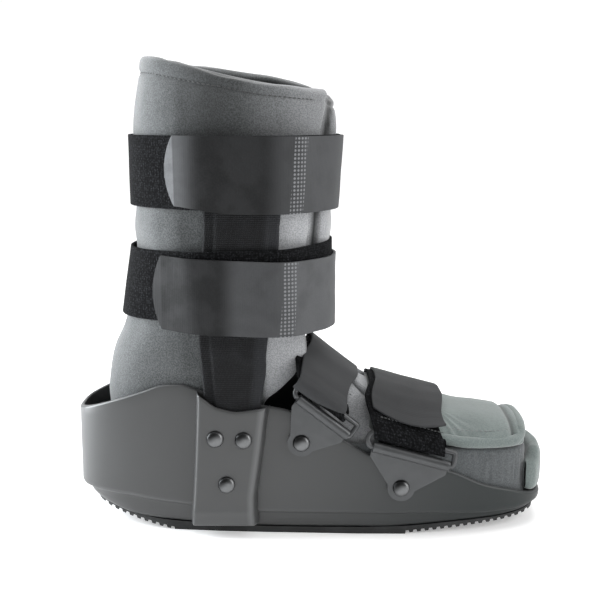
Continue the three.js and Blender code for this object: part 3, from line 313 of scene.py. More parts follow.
def leg_point(angle, z, inset):
    """A point of the wrap's outline by its angle from the front, drawn in by an inset."""
    cos = signed_power(math.cos(angle), 2 / LEG_SQUARENESS)
    sin = signed_power(math.sin(angle), 2 / LEG_SQUARENESS)
    reach = LEG_FRONT * leg_at("front", z) - LEG_AXIS if cos > 0 else LEG_BACK * leg_at("back", z) + LEG_AXIS
    x = LEG_AXIS + (reach - inset) * cos
    half = (LEG_SIDE * leg_at("side", z) - inset) * abs(sin)
    if z < SHELL_HEIGHT + SHELL_WALL * 3:
        half = min(half, half_width(x) - SHELL_WALL - 2 * GAP - inset)
    return x, -math.copysign(half, sin)


def leg_slant(x):
    share = smooth(x, -LEG_BACK * 0.7, LEG_FRONT)
    return 1 - LEG_SLANT * share / (LEG_TOP - LEG_SLANT_FROM)


def leg_rim(x):
    """Height of the leg wrap's slanting top."""
    return LEG_TOP - (LEG_TOP - LEG_SLANT_FROM) * (1 - leg_slant(x))


def rim_shift(x, y):
    return mix(follow(NEAR_RIM, x), follow(FAR_RIM, x), smooth(y, -30, 30))


@lru_cache(None)
def near_edge_angle(z):
    reach = LEG_FRONT * leg_at("front", z) - LEG_AXIS
    share = (LEG_FRONT * leg_at("edge", z) - LEG_AXIS) / reach
    return math.acos(share ** (LEG_SQUARENESS / 2))


def leg_wall(part, share, z, round_off):
    """A point of the wrap's wall: part is outer, far, inner or near, and share runs along it."""
    start = near_edge_angle(z)
    tuck = leg_at("tuck", z)
    end = 2 * math.pi + tuck * start + max(0, tuck) * FLAP_TUCK
    under = 2 * math.pi + start
    half = LEG_WALL / 2 - round_off
    ease = 0.8 * half / 62
    first, last = start + ease, end - ease

    def at(angle, depth):
        dive = smooth(angle, under - math.radians(26), under - math.radians(4))
        return Vector(leg_point(angle, z, depth + dive * (LEG_WALL + 3 * GAP)))

    if part == "outer":
        place = at(mix(first, last, share), round_off)
    elif part == "inner":
        place = at(mix(last, first, share), LEG_WALL - round_off)
    else:
        angle, ahead = (last, 0.03) if part == "far" else (first, -0.03)
        turn = math.pi * share if part == "far" else math.pi * (1 - share)
        middle = at(angle, LEG_WALL / 2)
        tangent = (middle - at(angle - ahead, LEG_WALL / 2)).normalized()
        place = at(angle, LEG_WALL / 2 - half * math.cos(turn)) + tangent * half * 0.8 * math.sin(turn)
    lift = max(0, z - LEG_SLANT_FROM) * (1 - leg_slant(place.x))
    lift -= rim_shift(*place) * smooth(z, LEG_TOP - 60, LEG_TOP - 4)
    return (place.x, place.y, z - lift)


@lru_cache(None)
def upright_at(z):
    """Rear edge, front edge and inner face of an upright at a height."""
    share = z / UPRIGHT_TOP
    inner = max(UPRIGHT_INNER, LEG_SIDE * leg_at("side", z) + 2 * GAP)
    return UPRIGHT_WIDTH * follow(UPRIGHT_REAR, share), UPRIGHT_WIDTH * follow(UPRIGHT_FRONT, share), inner


def grid(bm, steps, place, size=(1.0, 1.0)):
    """A grid of faces with its vertices at place(u, v) in mm. size is its size as flat cloth, for the UVs."""
    uv = bm.loops.layers.uv.verify()
    made = bmesh.ops.create_grid(bm, x_segments=steps[0], y_segments=steps[1], size=0.5)
    for vert in made["verts"]:
        u, v = vert.co.x + 0.5, vert.co.y + 0.5
        for loop in vert.link_loops:
            loop[uv].uv = (u * size[0] * MM, v * size[1] * MM)
        vert.co = Vector(place(u, v)) * MM
    return made["verts"]


def weld(bm, distance=0.002):
    bmesh.ops.remove_doubles(bm, verts=bm.verts, dist=distance * MM)
    bmesh.ops.dissolve_degenerate(bm, edges=bm.edges, dist=distance * MM)
    bmesh.ops.recalc_face_normals(bm, faces=bm.faces)


def piece(name, bm, material, nodes=()):
    """An object of the boot from a finished bmesh. It stands for the CAD nodes named."""
    mesh = bpy.data.meshes.new(name)
    bm.to_mesh(mesh)
    bm.free()
    mesh.polygons.foreach_set("use_smooth", [True] * len(mesh.polygons))
    mesh.materials.append(material)
    obj = bpy.data.objects.new(name, mesh)
    bpy.context.scene.collection.objects.link(obj)
    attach(obj, "root")
    if nodes:
        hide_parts(*nodes)
    return obj


def thicken(obj, thickness, bevel=0.0):
    """Gives a sheet its thickness about its middle, and rounds its edges."""
    wall = obj.modifiers.new("Wall", "SOLIDIFY")
    wall.thickness = thickness * MM
    wall.offset = 0
    if bevel:
        edge = obj.modifiers.new("Edge", "BEVEL")
        edge.width = bevel * MM
        edge.segments = 3
        edge.limit_method = "ANGLE"
        edge.angle_limit = math.radians(50)
    return obj


def apply_modifiers(obj):
    """Turns what the modifiers make into the object's own mesh."""
    graph = bpy.context.evaluated_depsgraph_get()
    mesh = bpy.data.meshes.new_from_object(obj.evaluated_get(graph), depsgraph=graph)
    obj.modifiers.clear()
    obj.data = mesh
    mesh.polygons.foreach_set("use_smooth", [True] * len(mesh.polygons))


def coordinates(mesh):
    values = np.zeros(len(mesh.vertices) * 3, np.float32)
    mesh.vertices.foreach_get("co", values)
    return values.reshape(-1, 3).astype(float)


def set_coordinates(mesh, values):
    mesh.vertices.foreach_set("co", values.astype(np.float32).ravel())
    mesh.update()


def tree_of(obj):
    """A search tree of an object's own mesh."""
    mesh = obj.data
    return BVHTree.FromPolygons([v.co for v in mesh.vertices], [tuple(p.vertices) for p in mesh.polygons])


def soft_noise(point, size, seed=0.0):
    """Smooth noise from -1 to 1 with blobs of a size in mm."""
    return noise.noise(Vector(point) / size + Vector((seed, seed * 1.7, -seed)))


def swell(obj, pressure, cap):
    """Blows a closed mesh up like a cushion. No point moves further than the cap, in mm."""
    scene = bpy.context.scene
    rest = coordinates(obj.data)
    cloth = obj.modifiers.new("Cloth", "CLOTH")
    cloth.settings.quality = 4
    cloth.settings.use_pressure = True
    cloth.settings.uniform_pressure_force = pressure
    cloth.settings.tension_stiffness = 12
    cloth.settings.bending_stiffness = 0.6
    cloth.settings.effector_weights.gravity = 0
    cloth.collision_settings.use_self_collision = False
    cloth.point_cache.frame_start = 1
    cloth.point_cache.frame_end = 20
    for step in range(1, 21):
        scene.frame_set(step)
    graph = bpy.context.evaluated_depsgraph_get()
    blown = coordinates(obj.evaluated_get(graph).data)
    obj.modifiers.remove(cloth)
    scene.frame_set(1)
    move = blown - rest
    length = np.linalg.norm(move, axis=1, keepdims=True)
    share = np.minimum(1, cap * MM / np.maximum(length, 1e-9))
    set_coordinates(obj.data, rest + move * share)


def sculpt(obj, change):
    """Moves an object's vertices: change gets places and normals in mm and returns new places."""
    mesh = obj.data
    normals = np.zeros(len(mesh.vertices) * 3, np.float32)
    mesh.vertex_normals.foreach_get("vector", normals)
    places = coordinates(mesh) / MM
    set_coordinates(mesh, change(places, normals.reshape(-1, 3).astype(float)) * MM)


def paint(obj, name, values):
    """Stores one number a vertex for a material to read."""
    attribute = obj.data.attributes.new(name, "FLOAT", "POINT")
    attribute.data.foreach_set("value", np.asarray(values, np.float32))


def tube(name, points, radius, material, sides=12, closed=False, squash=1.0, steps=None):
    """A round cord or roll along points in mm, its ends drawn in to a dome. squash flattens it upwards."""
    line = [Vector(p) for p in points]
    steps = steps or len(line) - (0 if closed else 1)
    normals = []
    count = len(line)
    for i in range(count):
        ahead = line[(i + 1) % count] if closed else line[min(i + 1, count - 1)]
        behind = line[i - 1] if closed or i else line[0]
        along = (ahead - behind).normalized()
        across = along.cross(Vector((0, 0, 1)))
        if across.length < 0.05:
            across = along.cross(Vector((0, 1, 0)))
        across.normalize()
        if normals and normals[-1][0].dot(across) < 0:
            across.negate()
        normals.append((across, along.cross(across).normalized(), along))

    def place(u, v):
        position = u * (count if closed else count - 1)
        i = min(int(position), count - 1)
        j = (i + 1) % count if closed else min(i + 1, count - 1)
        t = position - i
        centre = line[i % count].lerp(line[j], t)
        across = normals[i % count][0].lerp(normals[j][0], t)
        upward = normals[i % count][1].lerp(normals[j][1], t)
        along = normals[i % count][2]
        size = radius
        if not closed:
            run = min(u, 1 - u) * steps
            size = radius * math.sqrt(clamp(1 - (1 - clamp(run / 2.0)) ** 2, 0.0004, 1))
        turn = 2 * math.pi * v
        return centre + across * size * math.cos(turn) + upward * size * squash * math.sin(turn) + along * 0

    bm = bmesh.new()
    length = sum((line[i + 1] - line[i]).length for i in range(count - 1))
    grid(bm, (steps, sides), place, (length, 2 * math.pi * radius))
    weld(bm)
    if not closed:
        bmesh.ops.holes_fill(bm, edges=bm.edges, sides=0)
        bmesh.ops.recalc_face_normals(bm, faces=bm.faces)
    return piece(name, bm, material, ())


def stitch_row(name, spots, length, radius, material):
    """Small stitches: each spot is a place and a direction in mm. They are one mesh."""
    bm = bmesh.new()
    for place, along in spots:
        made = bmesh.ops.create_uvsphere(bm, u_segments=6, v_segments=5, radius=1.0)
        turn = Vector(along).to_track_quat("Z", "Y").to_matrix().to_4x4()
        for vert in made["verts"]:
            local = Vector((vert.co.x * radius, vert.co.y * radius, vert.co.z * length / 2))
            vert.co = (turn @ local + Vector(place)) * MM
    bmesh.ops.recalc_face_normals(bm, faces=bm.faces)
    return piece(name, bm, material, ())


def along_line(points, pitch):
    """Places every pitch mm along a line of points, with the direction there."""
    line = [Vector(p) for p in points]
    spots, left = [], pitch / 2
    for start, end in zip(line, line[1:]):
        length = (end - start).length
        direction = (end - start).normalized()
        while left < length:
            spots.append((start + direction * left, direction))
            left += pitch
        left -= length
    return spots


class Finish:
    """A material made of nodes, with short ways to add the usual ones."""

    def __init__(self, name, **constants):
        self.material = bpy.data.materials.new(name)
        self.material.use_nodes = True
        self.tree = self.material.node_tree
        self.shader = self.tree.nodes["Principled BSDF"]
        for socket, value in constants.items():
            self.shader.inputs[socket.replace("_", " ")].default_value = value

    def add(self, kind, inputs=None, **settings):
        node = self.tree.nodes.new("ShaderNode" + kind)
        for key, value in settings.items():
            setattr(node, key, value)
        for key, value in (inputs or {}).items():
            if isinstance(value, bpy.types.NodeSocket):
                self.tree.links.new(value, node.inputs[key])
            else:
                node.inputs[key].default_value = value
        return node

    def space(self, which="Object"):
        return self.add("TexCoord").outputs[which]

    def noise(self, vector, scale, detail=2.0):
        inputs = {"Vector": vector, "Scale": scale, "Detail": detail}
        return self.add("TexNoise", inputs).outputs["Fac"]

    def cells(self, vector, scale, randomness=1.0):
        inputs = {"Vector": vector, "Scale": scale, "Randomness": randomness}
        return self.add("TexVoronoi", inputs).outputs["Distance"]

    def stretch(self, vector, scale):
        return self.add("Mapping", {"Vector": vector, "Scale": scale}).outputs["Vector"]

    def part(self, vector, axis):
        return self.add("SeparateXYZ", {"Vector": vector}).outputs[axis]

    def math(self, operation, first, second=0.0):
        return self.add("Math", {0: first, 1: second}, operation=operation).outputs[0]

    def range(self, value, low, high, to_low=0.0, to_high=1.0):
        inputs = {0: value, 1: low, 2: high, 3: to_low, 4: to_high}
        return self.add("MapRange", inputs, interpolation_type="SMOOTHSTEP").outputs[0]

    def ripple(self, value, pitch):
        """A wave from 0 to 1 with a pitch in metres."""
        turns = self.math("MULTIPLY", value, 2 * math.pi / pitch)
        return self.range(self.math("SINE", turns), -1.0, 1.0)

    def blend(self, share, first, second):
        inputs = {"Factor": share}
        node = self.add("Mix", inputs, data_type="RGBA")
        for key, value in ((6, first), (7, second)):
            if isinstance(value, bpy.types.NodeSocket):
                self.tree.links.new(value, node.inputs[key])
            else:
                node.inputs[key].default_value = value
        return node.outputs[2]

    def attribute(self, name):
        return self.add("Attribute", attribute_name=name).outputs["Fac"]

    def bump(self, height, depth, strength=1.0):
        inputs = {"Height": height, "Distance": depth * MM, "Strength": strength}
        if self.shader.inputs["Normal"].is_linked:
            inputs["Normal"] = self.shader.inputs["Normal"].links[0].from_socket
        node = self.add("Bump", inputs)
        self.tree.links.new(node.outputs[0], self.shader.inputs["Normal"])

    def wire(self, value, socket):
        self.tree.links.new(value, self.shader.inputs[socket])


def shade(colour, factor):
    """A colour made lighter or darker, with alpha."""
    return (colour[0] * factor, colour[1] * factor, colour[2] * factor, 1.0)


def once(make):
    """Keeps the material that a function makes, so that pieces share it."""
    kept = {}

    def get(*arguments):
        if arguments not in kept:
            kept[arguments] = make(*arguments)
        return kept[arguments]

    return get


@once
def shell_plastic():
    """Satin moulded plastic with a faint grain, cloudy gloss and fine scuffs, painted shade that darkens it
    towards the toe, and painted highlights along its crease, rim and pocket edges.
    """
    colours = bpy.context.scene.boot_colours
    look = Finish("shell_plastic", Roughness=0.4, Coat_Weight=0.12, Coat_Roughness=0.3)
    place = look.space()
    clouds = look.noise(place, 18.0, 3.0)
    grain = look.noise(place, 2600.0, 2.0)
    scuffs = look.noise(look.stretch(place, (60.0, 400.0, 900.0)), 1.0, 4.0)
    colour = look.blend(look.range(clouds, 0.3, 0.7), shade(colours.shell, 0.92), shade(colours.shell, 1.08))
    # Painted shade: the colour darkens and turns greenish towards the toe, where less light falls.
    toe_shade = look.range(look.part(place, "X"), 0.0, 0.19)
    look.wire(look.range(look.part(place, "X"), 0.02, 0.17, 0.5, 0.28), "Specular IOR Level")
    toe = (colours.shell[0] * 0.24, colours.shell[1] * 0.34, colours.shell[2] * 0.335, 1.0)
    colour = look.blend(toe_shade, colour, toe)
    colour = look.blend(look.range(scuffs, 0.66, 0.8, 0.0, 0.12), colour, shade(colours.shell, 1.9))
    # Painted highlights along the crease, the rim and the pockets' edges, read from the 'edge' attribute.
    edge_highlight = look.math("MULTIPLY", look.attribute("edge"), 0.55)
    colour = look.blend(edge_highlight, colour, shade(colours.shell, 3.2))
    look.wire(colour, "Base Color")
    look.wire(look.range(clouds, 0.3, 0.7, 0.36, 0.46), "Roughness")
    look.bump(grain, 0.05, 0.35)
    return look.material


@once
def rubber():
    """Dull black rubber."""
    colours = bpy.context.scene.boot_colours
    look = Finish("sole_rubber", Roughness=0.72)
    place = look.space()
    dust = look.noise(place, 90.0, 4.0)
    look.wire(look.blend(look.range(dust, 0.4, 0.75), shade(colours.rubber, 0.8), shade(colours.rubber, 1.7)),
              "Base Color")
    look.bump(look.noise(place, 1800.0, 2.0), 0.12, 0.5)
    return look.material


@once
def liner_cloth(name, nap):
    """Heathered brushed cloth: fibres of two greys, with a fuzzy surface. Painted shadow darkens it on the
    inside and wherever else the shadow attribute is set, and towards the front it turns paler, partly a paler
    cloth and partly painted light.
    """
    colours = bpy.context.scene.boot_colours
    base = getattr(colours, name)
    look = Finish(f"{name}_cloth", Roughness=0.95, Sheen_Weight=0.35, Sheen_Roughness=0.5)
    place = look.space()
    fibres = look.noise(place, 1350.0, 3.0)
    specks = look.noise(place, 900.0, 1.0)
    clouds = look.noise(place, 45.0, 3.0)
    grain = look.range(fibres, 0.41, 0.59)
    colour = look.blend(grain, shade(base, 1 - nap), shade(base, 1 + nap))
    colour = look.blend(look.range(specks, 0.56, 0.7, 0.0, 0.5), colour, shade(base, 1 + 3 * nap))
    colour = look.blend(look.range(clouds, 0.3, 0.7, 0.0, 0.16), colour, shade(base, 0.6))
    # Paler cloth towards the front, partly a paler cloth and partly painted light on the side that catches
    # more light.
    pale = look.blend(grain, shade(colours.bare, 0.78), shade(colours.bare, 1.16))
    colour = look.blend(look.attribute("bare"), colour, pale)
    colour = look.blend(look.attribute("shadow"), colour, shade(base, 0.16))
    look.wire(colour, "Base Color")
    look.bump(fibres, 0.4, 0.45)
    look.bump(specks, 0.35, 0.3)
    return look.material


@once
def sleeve_weave():
    """Black woven sleeve: fine ribs across, a twill along, and sewn hems at both edges."""
    colours = bpy.context.scene.boot_colours
    look = Finish("sleeve_weave", Roughness=0.85, Specular_IOR_Level=0.25)
    flat = look.space("UV")
    across, along = look.part(flat, "X"), look.part(flat, "Y")
    ribs = look.ripple(along, 0.0013)
    twill = look.ripple(look.math("ADD", across, look.math("MULTIPLY", along, 0.15)), 0.0011)
    weave = look.math("MULTIPLY", look.math("ADD", ribs, 0.35), look.math("ADD", twill, 0.4))
    fuzz = look.noise(look.space(), 1500.0, 3.0)
    worn = look.noise(look.space(), 70.0, 4.0)
    share = look.math("MULTIPLY", weave, look.range(fuzz, 0.3, 0.75, 0.25, 1.0))
    dark, pale = shade(colours.webbing, 0.55), shade(colours.webbing, 2.6)
    colour = look.blend(look.range(share, 0.1, 1.3), dark, pale)
    colour = look.blend(look.range(worn, 0.45, 0.75, 0.0, 0.25), colour, shade(colours.webbing, 3.2))
    front = look.range(across, 0.036, 0.043)
    colour = look.blend(look.math("MULTIPLY", front, 0.45), colour, shade(colours.webbing, 5.5))
    look.wire(colour, "Base Color")
    look.bump(weave, 0.35, 0.7)
    look.bump(fuzz, 0.2, 0.3)
    return look.material


@once
def loop_webbing():
    """Black loop pile: a coarse grain of small curls in rows."""
    colours = bpy.context.scene.boot_colours
    look = Finish("loop_webbing", Roughness=0.95, Specular_IOR_Level=0.08)
    flat = look.space("UV")
    curls = look.cells(flat, 640.0, 0.6)
    rows = look.ripple(look.part(flat, "X"), 0.0021)
    fuzz = look.noise(look.space(), 1500.0, 3.0)
    height = look.math("MULTIPLY", look.range(curls, 0.75, 0.1), look.range(rows, 0.0, 1.0, 0.55, 1.0))
    tips = look.math("MULTIPLY", height, look.range(fuzz, 0.36, 0.66, 0.12, 0.8))
    look.wire(look.blend(tips, shade(colours.webbing, 0.3), shade(colours.webbing, 5.0)), "Base Color")
    look.bump(height, 0.5, 0.8)
    look.bump(fuzz, 0.3, 0.4)
    return look.material


@once
def coated_strap(name, crescent, tab, middle, front, greyer_at, dots_at):
    """Smooth coated strap. Along it from its tab: a pale crescent, a dark middle, a greyer part with dots."""
    colours = bpy.context.scene.boot_colours
    look = Finish(f"coated_strap_{name}", Roughness=0.6, Specular_IOR_Level=0.12)
    flat = look.space("UV")
    along, across = look.part(flat, "X"), look.part(flat, "Y")
    ribs = look.ripple(along, 0.0014)
    threads = look.ripple(across, 0.0009)
    fuzz = look.noise(look.space(), 900.0, 3.0)
    clouds = look.noise(look.space(), 55.0, 4.0)
    base = colours.closure
    colour = look.blend(look.range(along, 0.0062, 0.0072), shade(base, crescent), shade(base, tab))
    colour = look.blend(look.range(along, 0.008, 0.026), colour, shade(base, middle))
    greyer = look.range(along, greyer_at - 0.007, greyer_at + 0.007)
    colour = look.blend(greyer, colour, shade(base, front * 0.72))
    colour = look.blend(look.range(along, dots_at - 0.001, dots_at + 0.006), colour, shade(base, front))
    if dots_at < 1.0:
        before = look.range(along, greyer_at, greyer_at - 0.01)
        patches = look.math("MULTIPLY", look.range(clouds, 0.42, 0.62, 0.0, 0.35), before)
        colour = look.blend(patches, colour, shade(base, middle * 2.4))
    colour = look.blend(look.range(clouds, 0.56, 0.3, 0.0, 0.2), colour, shade(base, middle * 0.6))
    colour = look.blend(look.math("MULTIPLY", look.range(fuzz, 0.4, 0.7), 0.14), colour, shade(base, 2.2))
    slanted = look.math("ADD", along, look.math("MULTIPLY", across, -0.06))
    edge = look.math("ABSOLUTE", look.math("SUBTRACT", slanted, dots_at - 0.0014))
    dots = look.range(look.cells(flat, 410.0, 0.0), 0.36, 0.26)
    mask = look.math("MULTIPLY", dots, look.range(edge, 0.0050, 0.0046))
    if dots_at < 1.0:
        colour = look.blend(look.math("MULTIPLY", mask, 0.62), colour, shade(base, 15.0))
    look.wire(colour, "Base Color")
    look.bump(ribs, 0.10, 0.35)
    look.bump(threads, 0.06, 0.3)
    look.bump(fuzz, 0.12, 0.3)
    return look.material


@once
def satin_metal():
    """Grey painted metal with a satin sheen and light wear."""
    colours = bpy.context.scene.boot_colours
    look = Finish("satin_metal", Metallic=0.5, Roughness=0.4)
    place = look.space()
    clouds = look.range(look.noise(place, 45.0, 2.0), 0.3, 0.7)
    look.wire(look.blend(clouds, shade(colours.metal, 0.94), shade(colours.metal, 1.06)), "Base Color")
    look.wire(look.range(look.noise(place, 300.0, 3.0), 0.3, 0.7, 0.28, 0.42), "Roughness")
    look.bump(look.noise(place, 2200.0, 2.0), 0.03, 0.4)
    return look.material


@once
def polished_metal():
    """Smooth rivet heads that mirror the bright floor, with painted shade that darkens their upper left side
    like a darker room above.
    """
    colours = bpy.context.scene.boot_colours
    look = Finish("polished_metal", Metallic=1.0, Roughness=0.36)
    place = look.space()
    colour = look.blend(look.noise(place, 150.0, 3.0), shade(colours.rivet, 0.95), shade(colours.rivet, 1.25))
    look.wire(look.blend(look.attribute("shadow"), colour, shade(colours.rivet, 0.22)), "Base Color")
    look.bump(look.noise(place, 900.0, 2.0), 0.04, 0.3)
    return look.material


@once
def thread(name, factor):
    """Sewing thread with a fine twist."""
    colours = bpy.context.scene.boot_colours
    look = Finish(f"thread_{name}", Roughness=0.8, Sheen_Weight=0.3)
    fuzz = look.noise(look.space(), 4000.0, 2.0)
    base = colours.thread
    look.wire(look.blend(fuzz, shade(base, 0.7 * factor), shade(base, 1.2 * factor)), "Base Color")
    look.bump(fuzz, 0.08, 0.4)
    return look.material


@once
def studio_paper():
    """Plain pale backdrop."""
    look = Finish("studio_paper", Roughness=0.9, Emission_Color=(1, 1, 1, 1), Emission_Strength=0.3)
    clouds = look.noise(look.space(), 3.0, 2.0)
    look.wire(look.blend(clouds, (0.86, 0.86, 0.86, 1), (0.9, 0.9, 0.9, 1)), "Base Color")
    return look.material


class BootColours(bpy.types.PropertyGroup):
    """Colours of the boot's finishes."""

    def colour(name, text, value):
        return bpy.props.FloatVectorProperty(
            name=name, description=text, default=value, size=3, min=0, max=1, subtype="COLOR"
        )

    shell: colour("Shell", "Moulded plastic of the shell", (0.034, 0.0348, 0.0352))
    rubber: colour("Rubber", "Tread of the sole", (0.012, 0.0125, 0.013))
    liner: colour("Liner", "Heathered cloth of the leg wrap", (0.055, 0.059, 0.0605))
    flap: colour("Toe flap", "Pale cloth over the toes", (0.122, 0.146, 0.14))
    tray: colour("Tray", "Darker cloth round the foot", (0.062, 0.068, 0.071))
    webbing: colour("Webbing", "Black loop webbing and sleeves", (0.0072, 0.0075, 0.0083))
    closure: colour("Closure", "Coated face of the straps", (0.0165, 0.0169, 0.0176))
    metal: colour("Metal", "Brackets, rings and rivets", (0.062, 0.064, 0.066))
    # A paler cloth at the front of the liner, also used as painted light where the front catches the lamps.
    bare: colour("Bare cloth", "Smooth pale cloth at the front of the liner", (0.30, 0.306, 0.316))
    rivet: colour("Rivets", "Polished heads of the rivets", (0.125, 0.127, 0.129))
    thread: colour("Thread", "Sewing thread", (0.12, 0.125, 0.125))
    del colour


class BootSizes(bpy.types.PropertyGroup):
    """Sizes of the details that the frame leaves to the looks."""

    rim_radius: bpy.props.FloatProperty(
        name="Rim radius", description="Rounding of the shell's rim, in mm", default=1.5, min=0.5, max=1.5
    )
    binding_radius: bpy.props.FloatProperty(
        name="Binding radius", description="Roll along the toe flap's edges, in mm", default=3.7, min=2, max=6
    )
    stitch_length: bpy.props.FloatProperty(
        name="Stitch length", description="Length of one stitch, in mm", default=2.4, min=1, max=5
    )
    stitch_pitch: bpy.props.FloatProperty(
        name="Stitch pitch", description="Distance from stitch to stitch, in mm", default=3.2, min=1.5, max=6
    )
    ring_sides: bpy.props.IntProperty(
        name="Ring sides", description="Sides of the wire rings", default=14, min=6, max=24
    )


class MakeStage(bpy.types.Operator):
    """Make the camera, the soft lights and the pale backdrop"""

    bl_idname = "boot.make_stage"
    bl_label = "Make Stage"

    def execute(self, context):
        scene = context.scene
        data = bpy.data.cameras.new("camera")
        data.lens = CAMERA_LENS
        data.sensor_width = SENSOR
        camera = bpy.data.objects.new("camera", data)
        camera.location = Vector(CAMERA_PLACE) * MM
        camera.rotation_euler = (math.pi / 2 - CAMERA_PITCH, 0, 0)
        scene.collection.objects.link(camera)
        scene.camera = camera
        scene.view_settings.view_transform = "Standard"
        world = bpy.data.worlds.new("studio")
        world.use_nodes = True
        background = world.node_tree.nodes["Background"]
        background.inputs["Color"].default_value = (1, 1, 1, 1)
        background.inputs["Strength"].default_value = 0.42
        scene.world = world
        lights = (
            ("left_softbox", (-1000, 60, 330), (0, 0, 130), (450, 900), 29.0, (0.93, 0.97, 1.0)),
            ("right_softbox", (900, -420, 520), (60, 0, 120), (400, 900), 6.5, (1.0, 1.0, 1.0)),
            ("top_softbox", (0, 150, 1100), (0, 0, 100), (1100, 900), 12.0, (1.0, 1.0, 1.0)),
        )
        for name, place, target, size, power, colour in lights:
            lamp = bpy.data.lights.new(name, "AREA")
            lamp.shape = "RECTANGLE"
            lamp.size, lamp.size_y = size[0] * MM, size[1] * MM
            lamp.energy = power
            lamp.color = colour
            obj = bpy.data.objects.new(name, lamp)
            obj.location = Vector(place) * MM
            obj.rotation_euler = (Vector(target) - Vector(place)).to_track_quat("-Z", "Y").to_euler()
            scene.collection.objects.link(obj)
        bm = bmesh.new()

        def sweep(u, v):
            x = mix(-7000, 7000, u)
            y = mix(-7000, 2600, v)
            straight, radius = 1400, 600
            bend = max(0.0, y - straight)
            turn = min(bend / radius, math.pi / 2)
            wall = max(0.0, bend - radius * math.pi / 2) * 8
            return (x, min(y, straight + radius * math.sin(turn)), radius * (1 - math.cos(turn)) + wall)

        grid(bm, (4, 60), sweep)
        bmesh.ops.recalc_face_normals(bm, faces=bm.faces)
        floor = piece("studio_floor", bm, studio_paper())
        return {"FINISHED"}


def shell_rows():
    """Profile of the shell from the spine of its underside up the outside, over the rim and down inside."""
    rim = bpy.context.scene.boot_sizes.rim_radius

    def between(share):
        return lambda x: mix(underside_at(x), crease_at(x), share)

    def floor(x):
        return max(SHELL_FLOOR_TOP, underside_at(x) + SHELL_WALL)

    rows = [(None, between(0)), (UNDERSIDE_INSET + 2, between(0)), (UNDERSIDE_INSET + 0.4, between(0))]
    rows += [(UNDERSIDE_INSET - 0.3, between(0.05)), (UNDERSIDE_INSET - 0.9, between(0.14))]
    rows += [(BAND_INSET + 0.9, between(0.3)), (BAND_INSET + 0.4, between(0.5)), (BAND_INSET, between(0.75))]
    rows += [(BAND_INSET - 0.15, between(0.86)), (BAND_INSET - 0.6, between(0.92)), (1.2, between(0.96))]
    rows += [(0.45, between(1.0)), (0.1, lambda x: crease_at(x) + 1.0), (0.0, lambda x: crease_at(x) + 2.5)]

    def wall(share):
        return lambda x: mix(crease_at(x) + 2.5, rim_at(x) - rim, share)

    def edge(turn):
        return lambda x: rim_at(x) - rim + rim * math.sin(turn)

    def inner(share):
        return lambda x: mix(rim_at(x) - rim, max(crease_at(x), floor(x)) + 5, share)

    rows += [(0.0, wall(share / 9)) for share in range(1, 10)]
    for step in range(1, 9):
        turn = math.pi * step / 8
        rows.append((rim - rim * math.cos(turn) + (SHELL_WALL - 2 * rim) * step / 8, edge(turn)))
    rows += [(SHELL_WALL, inner(share / 6)) for share in range(1, 7)]
    rows += [(SHELL_WALL + 2, lambda x: floor(x) + 1.5), (SHELL_WALL + 6, floor), (None, floor)]
    return rows


def shell_surface(bm):
    rows = shell_rows()

    def place(u, v):
        inset, height = rows[round(v * (len(rows) - 1))]
        share = 0.5 - 0.5 * math.cos(2 * math.pi * u)
        spine = inset is None
        below = 1.0 if v < 0.2 else 0.0
        depth = UNDERSIDE_INSET + 2 if spine else inset
        depth += HEEL_CHAMFER * (1 - smooth(share, 0, 0.12)) * below * clamp(depth / UNDERSIDE_INSET)
        x = depth - SHELL_BACK + share * (SHELL_LENGTH - 2 * depth)
        half = 0.0 if spine else half_width(x, depth)
        room = mix(UPRIGHT_ROOM, UPRIGHT_ROOM + 10, smooth(x, 8, 20))
        half = min(half, max(room - (SHELL_WALL if v > 0.7 else 0), 0))
        return (x, -half if u < 0.5 else half, height(x))

    grid(bm, (300, len(rows) - 1), place)


def painted_edge_highlight(point):
    """How strongly a highlight is painted on the shell at a point: along its crease and its rim."""
    x, y, z = point
    outside = smooth(abs(y) - half_width(x), -3.2, -1.6) if abs(x - 44) < 150 else 1.0
    crease = math.exp(-(((z - crease_at(x) - 0.4) / 0.7) ** 2)) * outside * mix(0.8, 0.25, smooth(x, 0, 80))
    rim = smooth(z, rim_at(x) - 1.3, rim_at(x) - 0.2)
    return clamp(crease + 0.7 * rim)


